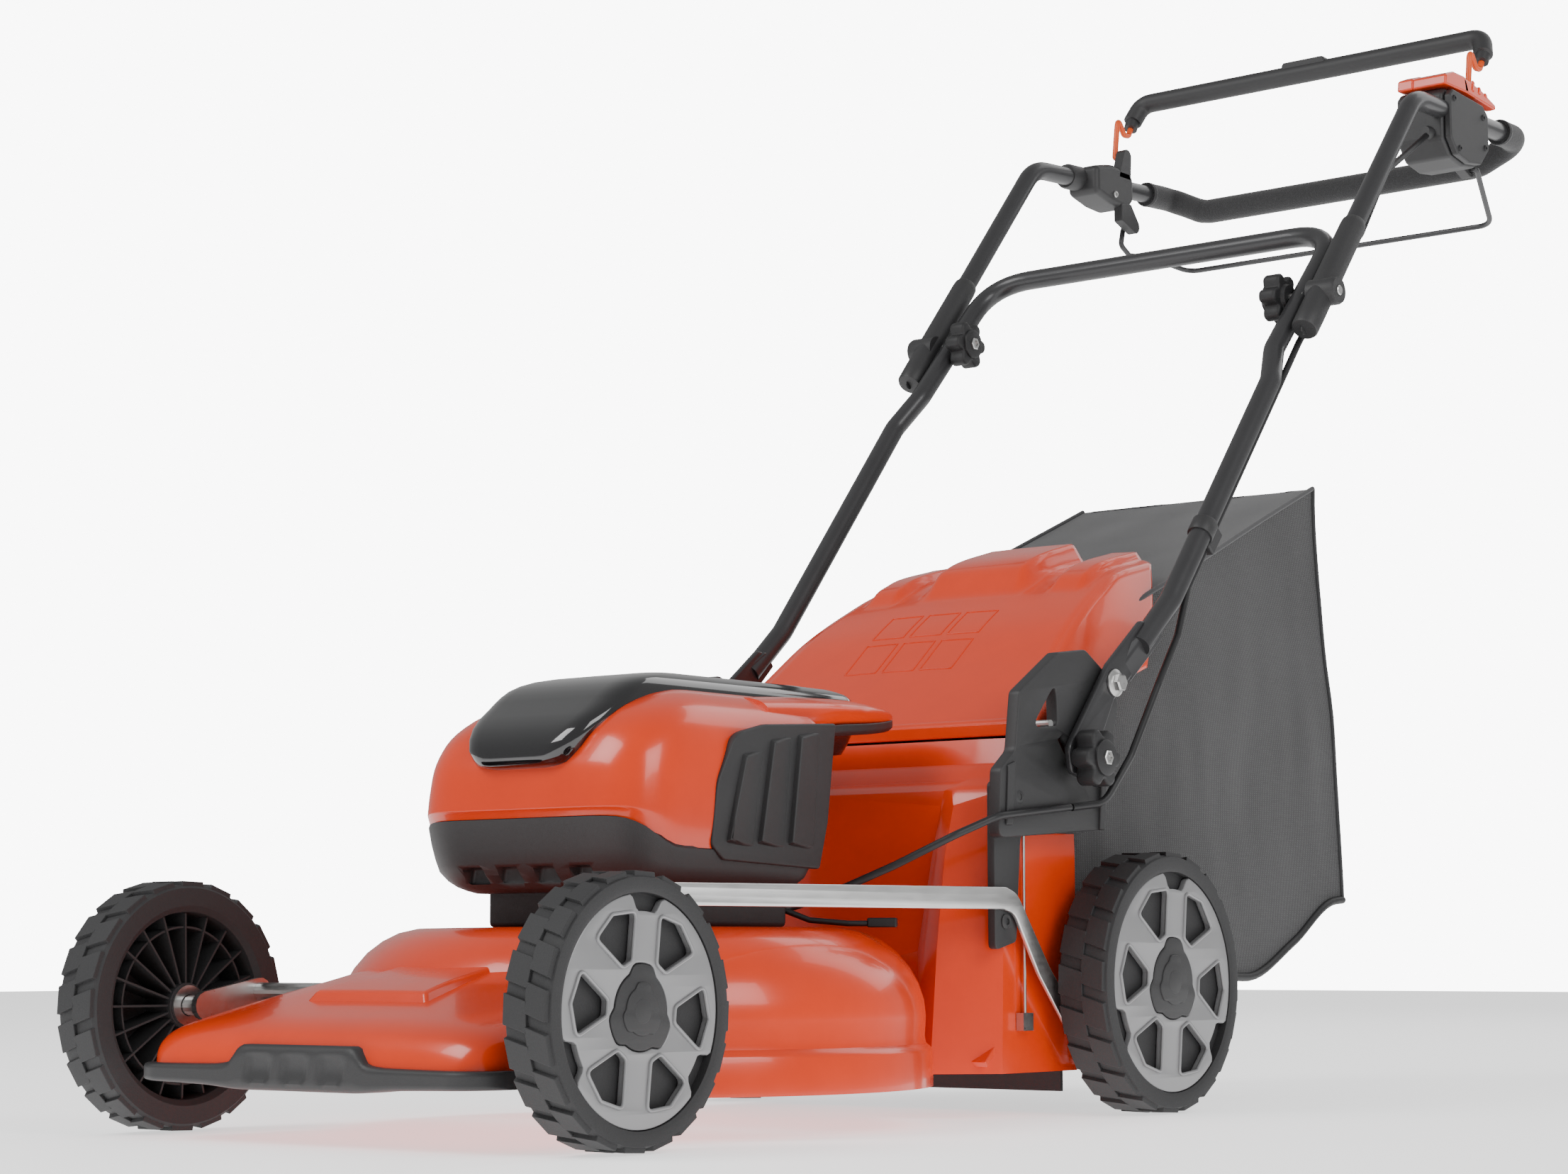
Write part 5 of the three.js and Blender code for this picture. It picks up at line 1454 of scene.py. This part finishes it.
def add_bag():
    """Cloth shell through the cross-sections, closed by its rear wall, given thickness and trimmed."""
    rows = []
    for share in spread(0, 1, BAG_STATIONS):
        ring = bag_ring(share)
        top, low = ring[-1], ring[0]
        across_top, across_low = [], []
        for u in spread(0.9, -0.9, 19):
            crown = 9 * (1 - u * u) * math.sin(math.pi * min(1, share * 1.05))
            ripple = 2.5 * noise.noise(Vector((u * 2.4, share * 6, 1.3)))
            across_top.append((top[0] * u, top[1], top[2] - crown + ripple))
            across_low.append((low[0] * u, low[1], low[2] - 6 * (1 - u * u) * math.sin(math.pi * share)))
        rows.append([*ring, *across_top, *mirror_points(reversed(ring)), *mirror_points(across_low)])
    shell = loft("bag_shell", rows, capped=False, sharp_degrees=60)
    rear = bag_rear_panel(rows[-1][:BAG_RING_POINTS])
    bag = join_meshes("grass_bag", [shell, rear])
    weld = bmesh.new()
    weld.from_mesh(bag.data)
    bmesh.ops.remove_doubles(weld, verts=weld.verts, dist=0.0003)
    bmesh.ops.recalc_face_normals(weld, faces=weld.faces)
    weld.to_mesh(bag.data)
    weld.free()
    add_modifier(bag, "SOLIDIFY", thickness=1.6 * MM, offset=-1)
    apply_modifiers(bag)
    shade(bag.data, 50)
    stand_in(bag, "bag_fabric", "bag", "bag_fabric")
    bag.data.materials.append(MATERIALS["bag_top"])
    bag.data.materials.append(MATERIALS["bag_rear"])
    for face in bag.data.polygons:
        if face.normal.z > 0.55 and face.center.z > 0.36:
            face.material_index = 1
        elif face.normal.y > 0.75:
            face.material_index = 2
    trims = add_bag_trim(rows)


def bag_rear_panel(left_edge):
    """Rear wall: rows across from the left edge of the last section to its mirror image."""
    rows = []
    for k, (x, y, z) in enumerate(left_edge):
        swell = 6 * math.sin(math.pi * k / (len(left_edge) - 1))
        droop = 6 if k == 0 else 0
        rows.append([(x * u, y - swell * (1 - u * u), z - droop * (1 - u * u)) for u in spread(1, -1, 21)])
    return loft("bag_rear", rows, closed=False, sharp_degrees=60)


def add_bag_trim(rows):
    """Piping along the side edges, a stiff hem round the bottom and a carrying handle."""
    trims = []
    for name, side in SIDES:
        tops = [row[BAG_RING_POINTS - 1] for row in rows]
        seam = [(side * (x + 0.5), y, z + 0.5) for x, y, z in tops]
        piping = tube(f"bag_piping_{name}", seam, 2.6, 12)
        place(piping, "bag", "bag_fabric", "bag_top")
        corner = [(side * (x + 0.5), y + 0.5, z) for x, y, z in rows[-1][:BAG_RING_POINTS]]
        edge = tube(f"bag_edge_{name}", corner, 2.4, 12)
        place(edge, "bag", "bag_fabric", "bag_top")
        trims += [piping, edge]
    hem_left = [(row[0][0] + 0.5, row[0][1], row[0][2] - 1) for row in rows[4:]]
    last_x, last_y, last_z = hem_left[-1]
    hem_left.append((last_x - 6, last_y + 4, last_z))
    hem = tube("bag_hem", hem_left + mirror_points(reversed(hem_left)), 4.2, 12)
    place(hem, "bag", "bag_fabric", "black_plastic")
    trims.append(hem)
    grip_path = bent_path(both_sides([(44, 150, 512), (42, 144, 534, 10)]), 10, 8)
    grip = tube("bag_grip", grip_path, 5.5, 16, section=lambda t: (1.5, 0.8))
    place(grip, "bag", "bag_fabric", "black_plastic")
    trims.append(grip)
    return trims


# ---------- cables ----------
CABLE_RADIUS = 3.5
CABLE_SIDES = 16
CABLE_BEND = 26
CABLE_DROP = TUBE_RADIUS + CABLE_RADIUS + 1
CABLE_X = LOWER_TUBE_X
CLIP_DISTANCE = 355
CLIP_HALF = 9


def add_motor_cable():
    """The free stretch of cable, from the side bracket down to the motor housing."""
    corners = [(233, -108, 281), (234, -226, 269), (214, -262, 252), (170, -294, 225), (120, -330, 198),
               (88, -344, 187), (88, -368, 186)]
    path = bent_path(corners, 30, 6)
    cable = tube("motor_lead", path, CABLE_RADIUS, CABLE_SIDES)
    stand_in(cable, "motor_cable", "deck", "cable_jacket")


def add_plug_lead():
    """Short lead that comes out beside the pedestal and lies on the deck, ending in a plug."""
    path = bent_path([(84, -360, 190), (112, -342, 177), (140, -322, 174), (158, -306, 174)], 12, 6)
    lead = tube("sensor_lead", path, 2.6, 12)
    plan = ((154, -314), (150, -306), (176, -300), (172, -292))
    plug = hull_solid("sensor_plug", [(x, y, z) for x, y in plan for z in (170.5, 179)], 1.5)
    place(join_meshes("deck_plug", [lead, plug]), "deck", "cable_jacket")


def cable_run(node, path):
    """A stretch of cable that stands for its CAD node."""
    cable = tube(f"{node}_run", path, CABLE_RADIUS, CABLE_SIDES)
    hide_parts(node)
    return cable


def with_more_points(path, step=6):
    """The same path with its long straight runs divided into short steps."""
    fine = []
    for a, b in zip(path, path[1:]):
        steps = max(1, int((b - a).length / step))
        fine += [a.lerp(b, k / steps) for k in range(steps)]
    return [*fine, path[-1]]


def add_held_cables():
    """Stretches clipped along the tubes, and the two that cross where the handle folds, fixed in place and
    tied to no body.
    """
    held = {
        "cable_upper": ("upper_handle", [(238, BOX_Y[0] - 3, 1068), (CABLE_X, 616, 1056),
                                         (250, *along_upper(228, CABLE_DROP)),
                                         (252, *along_upper(150, CABLE_DROP + 2))]),
        "cable_lower": ("lower_handle", [(CABLE_X, *along_leg(60, CABLE_DROP)),
                                         (CABLE_X, *along_leg(420, CABLE_DROP))]),
    }
    for node, (body, corners) in held.items():
        place(cable_run(node, bent_path(corners, CABLE_BEND, 10)), body, "cable_jacket")
    bending = {
        "cable_loop_upper": ("lower_handle", "upper_handle", [
            (252, *along_upper(149.5, CABLE_DROP + 2)), (250, *along_upper(122, CABLE_DROP + 6)),
            (234, *along_upper(90, CABLE_DROP + 6)), (CABLE_X, *along_leg(20, CABLE_DROP + 3)),
            (CABLE_X, *along_leg(59.5, CABLE_DROP))]),
        "cable_loop_lower": ("deck", "lower_handle", [
            (CABLE_X, *along_leg(420.5, CABLE_DROP)), (248, 62, 452), (257, 10, 400), (257, -40, 330),
            (244, -66, 286), (233, -104, 281)]),
    }
    for node, (near_body, far_body, corners) in bending.items():
        path = with_more_points(bent_path(corners, CABLE_BEND, 10))
        cable = cable_run(node, path)
        cable.data.materials.append(MATERIALS["cable_jacket"])
        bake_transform(cable)
    add_clip()


def add_clip():
    """Plastic clip that holds the cable to the lower tube."""
    on_axis = Vector((0, *along_leg(CLIP_DISTANCE)))
    middle = on_axis + Vector((CABLE_X, 0, 0))
    down = Vector((0, *along_leg(CLIP_DISTANCE, 1))) - on_axis
    ahead = (Vector((0, *along_leg(CLIP_DISTANCE + 1))) - on_axis).normalized()
    path = [middle + ahead * d for d in (-CLIP_HALF, 1 - CLIP_HALF, CLIP_HALF - 1, CLIP_HALF)]
    ring = tube("clip_ring", path, 13.2, 32, section=lambda t: (1, 1) if 0.1 < t < 0.9 else (0.96, 0.96))
    holder = hull_solid("clip_holder", [middle + ahead * (s * CLIP_HALF * 1.6) + down * d + Vector((x, 0, 0))
                                        for s in (-1, 1) for d in (9, 23) for x in (-8, 8)], 2.5)
    place(join_meshes("cable_clip_0", [ring, holder]), "lower_handle", "charcoal_plastic")


# ---------- stage ----------
FLOOR_REACH = 9000
FLOOR_Z = -1
LIT_POINT = Vector((0, -0.1, 0.5))
# Each lamp's name, place in metres, size in metres and power in watts.
LAMPS = (("key", (-1.4, -3.2, 3.4), 2.2, 100), ("fill", (3.6, -1.0, 2.4), 2.0, 62),
         ("back", (0.4, 3.6, 3.0), 3.0, 45))


def add_stage():
    """Plain pale floor, white surroundings and three soft lamps."""
    corners = [(a * FLOOR_REACH, b * FLOOR_REACH, FLOOR_Z) for a, b in ((-1, -1), (1, -1), (1, 1), (-1, 1))]
    floor = mesh_object("floor", corners, [(0, 1, 2, 3)])
    material, shader = new_material("floor", (0.92, 0.92, 0.92), 0.6)
    shader.inputs["Emission Color"].default_value = (1, 1, 1, 1)
    shader.inputs["Emission Strength"].default_value = 1.0
    floor.data.materials.append(material)
    add_world(light=0.42, backdrop=9)
    for name, stand, size, power in LAMPS:
        data = bpy.data.lights.new(name, "AREA")
        data.size = size
        data.energy = power
        lamp = new_object(name, data)
        lamp.location = stand
        lamp.rotation_euler = (LIT_POINT - Vector(stand)).to_track_quat("-Z", "Y").to_euler()


def add_world(light, backdrop):
    """White surroundings that light the mower softly and show as a bright backdrop."""
    world = bpy.data.worlds.new("studio")
    world.use_nodes = True
    nodes, links = world.node_tree.nodes, world.node_tree.links
    shine = nodes["Background"]
    shine.inputs["Color"].default_value = (1, 1, 1, 1)
    rays = nodes.new("ShaderNodeLightPath")
    strength = nodes.new("ShaderNodeMapRange")
    strength.inputs["To Min"].default_value = light
    strength.inputs["To Max"].default_value = backdrop
    links.new(rays.outputs["Is Camera Ray"], strength.inputs["Value"])
    links.new(strength.outputs["Result"], shine.inputs["Strength"])
    bpy.context.scene.world = world


def dress_cad_nodes():
    """Every CAD node that still shows gets its slot's material."""
    slots = {item["node"]: item["material_slot"] for item in frame["record"]["subparts"]}
    for name, node in frame["nodes"].items():
        node.data.materials.clear()
        node.data.materials.append(MATERIALS[slots[name]])


add_camera()
add_motor_cable()
dress_cad_nodes()
add_wheels()
add_deck()
add_bumper()
add_housing()
add_flap()
for side_name, side_sign in SIDES:
    add_bracket(side_name, side_sign)
    add_pivot_bolt(side_name, side_sign)
    add_knobs(side_name, side_sign)
add_link_bar()
dress_running_gear()
add_lower_handle()
add_upper_handle()
add_control_box()
add_bail_bracket()
add_start_lever()
add_stop_bail()
add_drive_bail()
add_bag()
add_plug_lead()
add_held_cables()
add_stage()
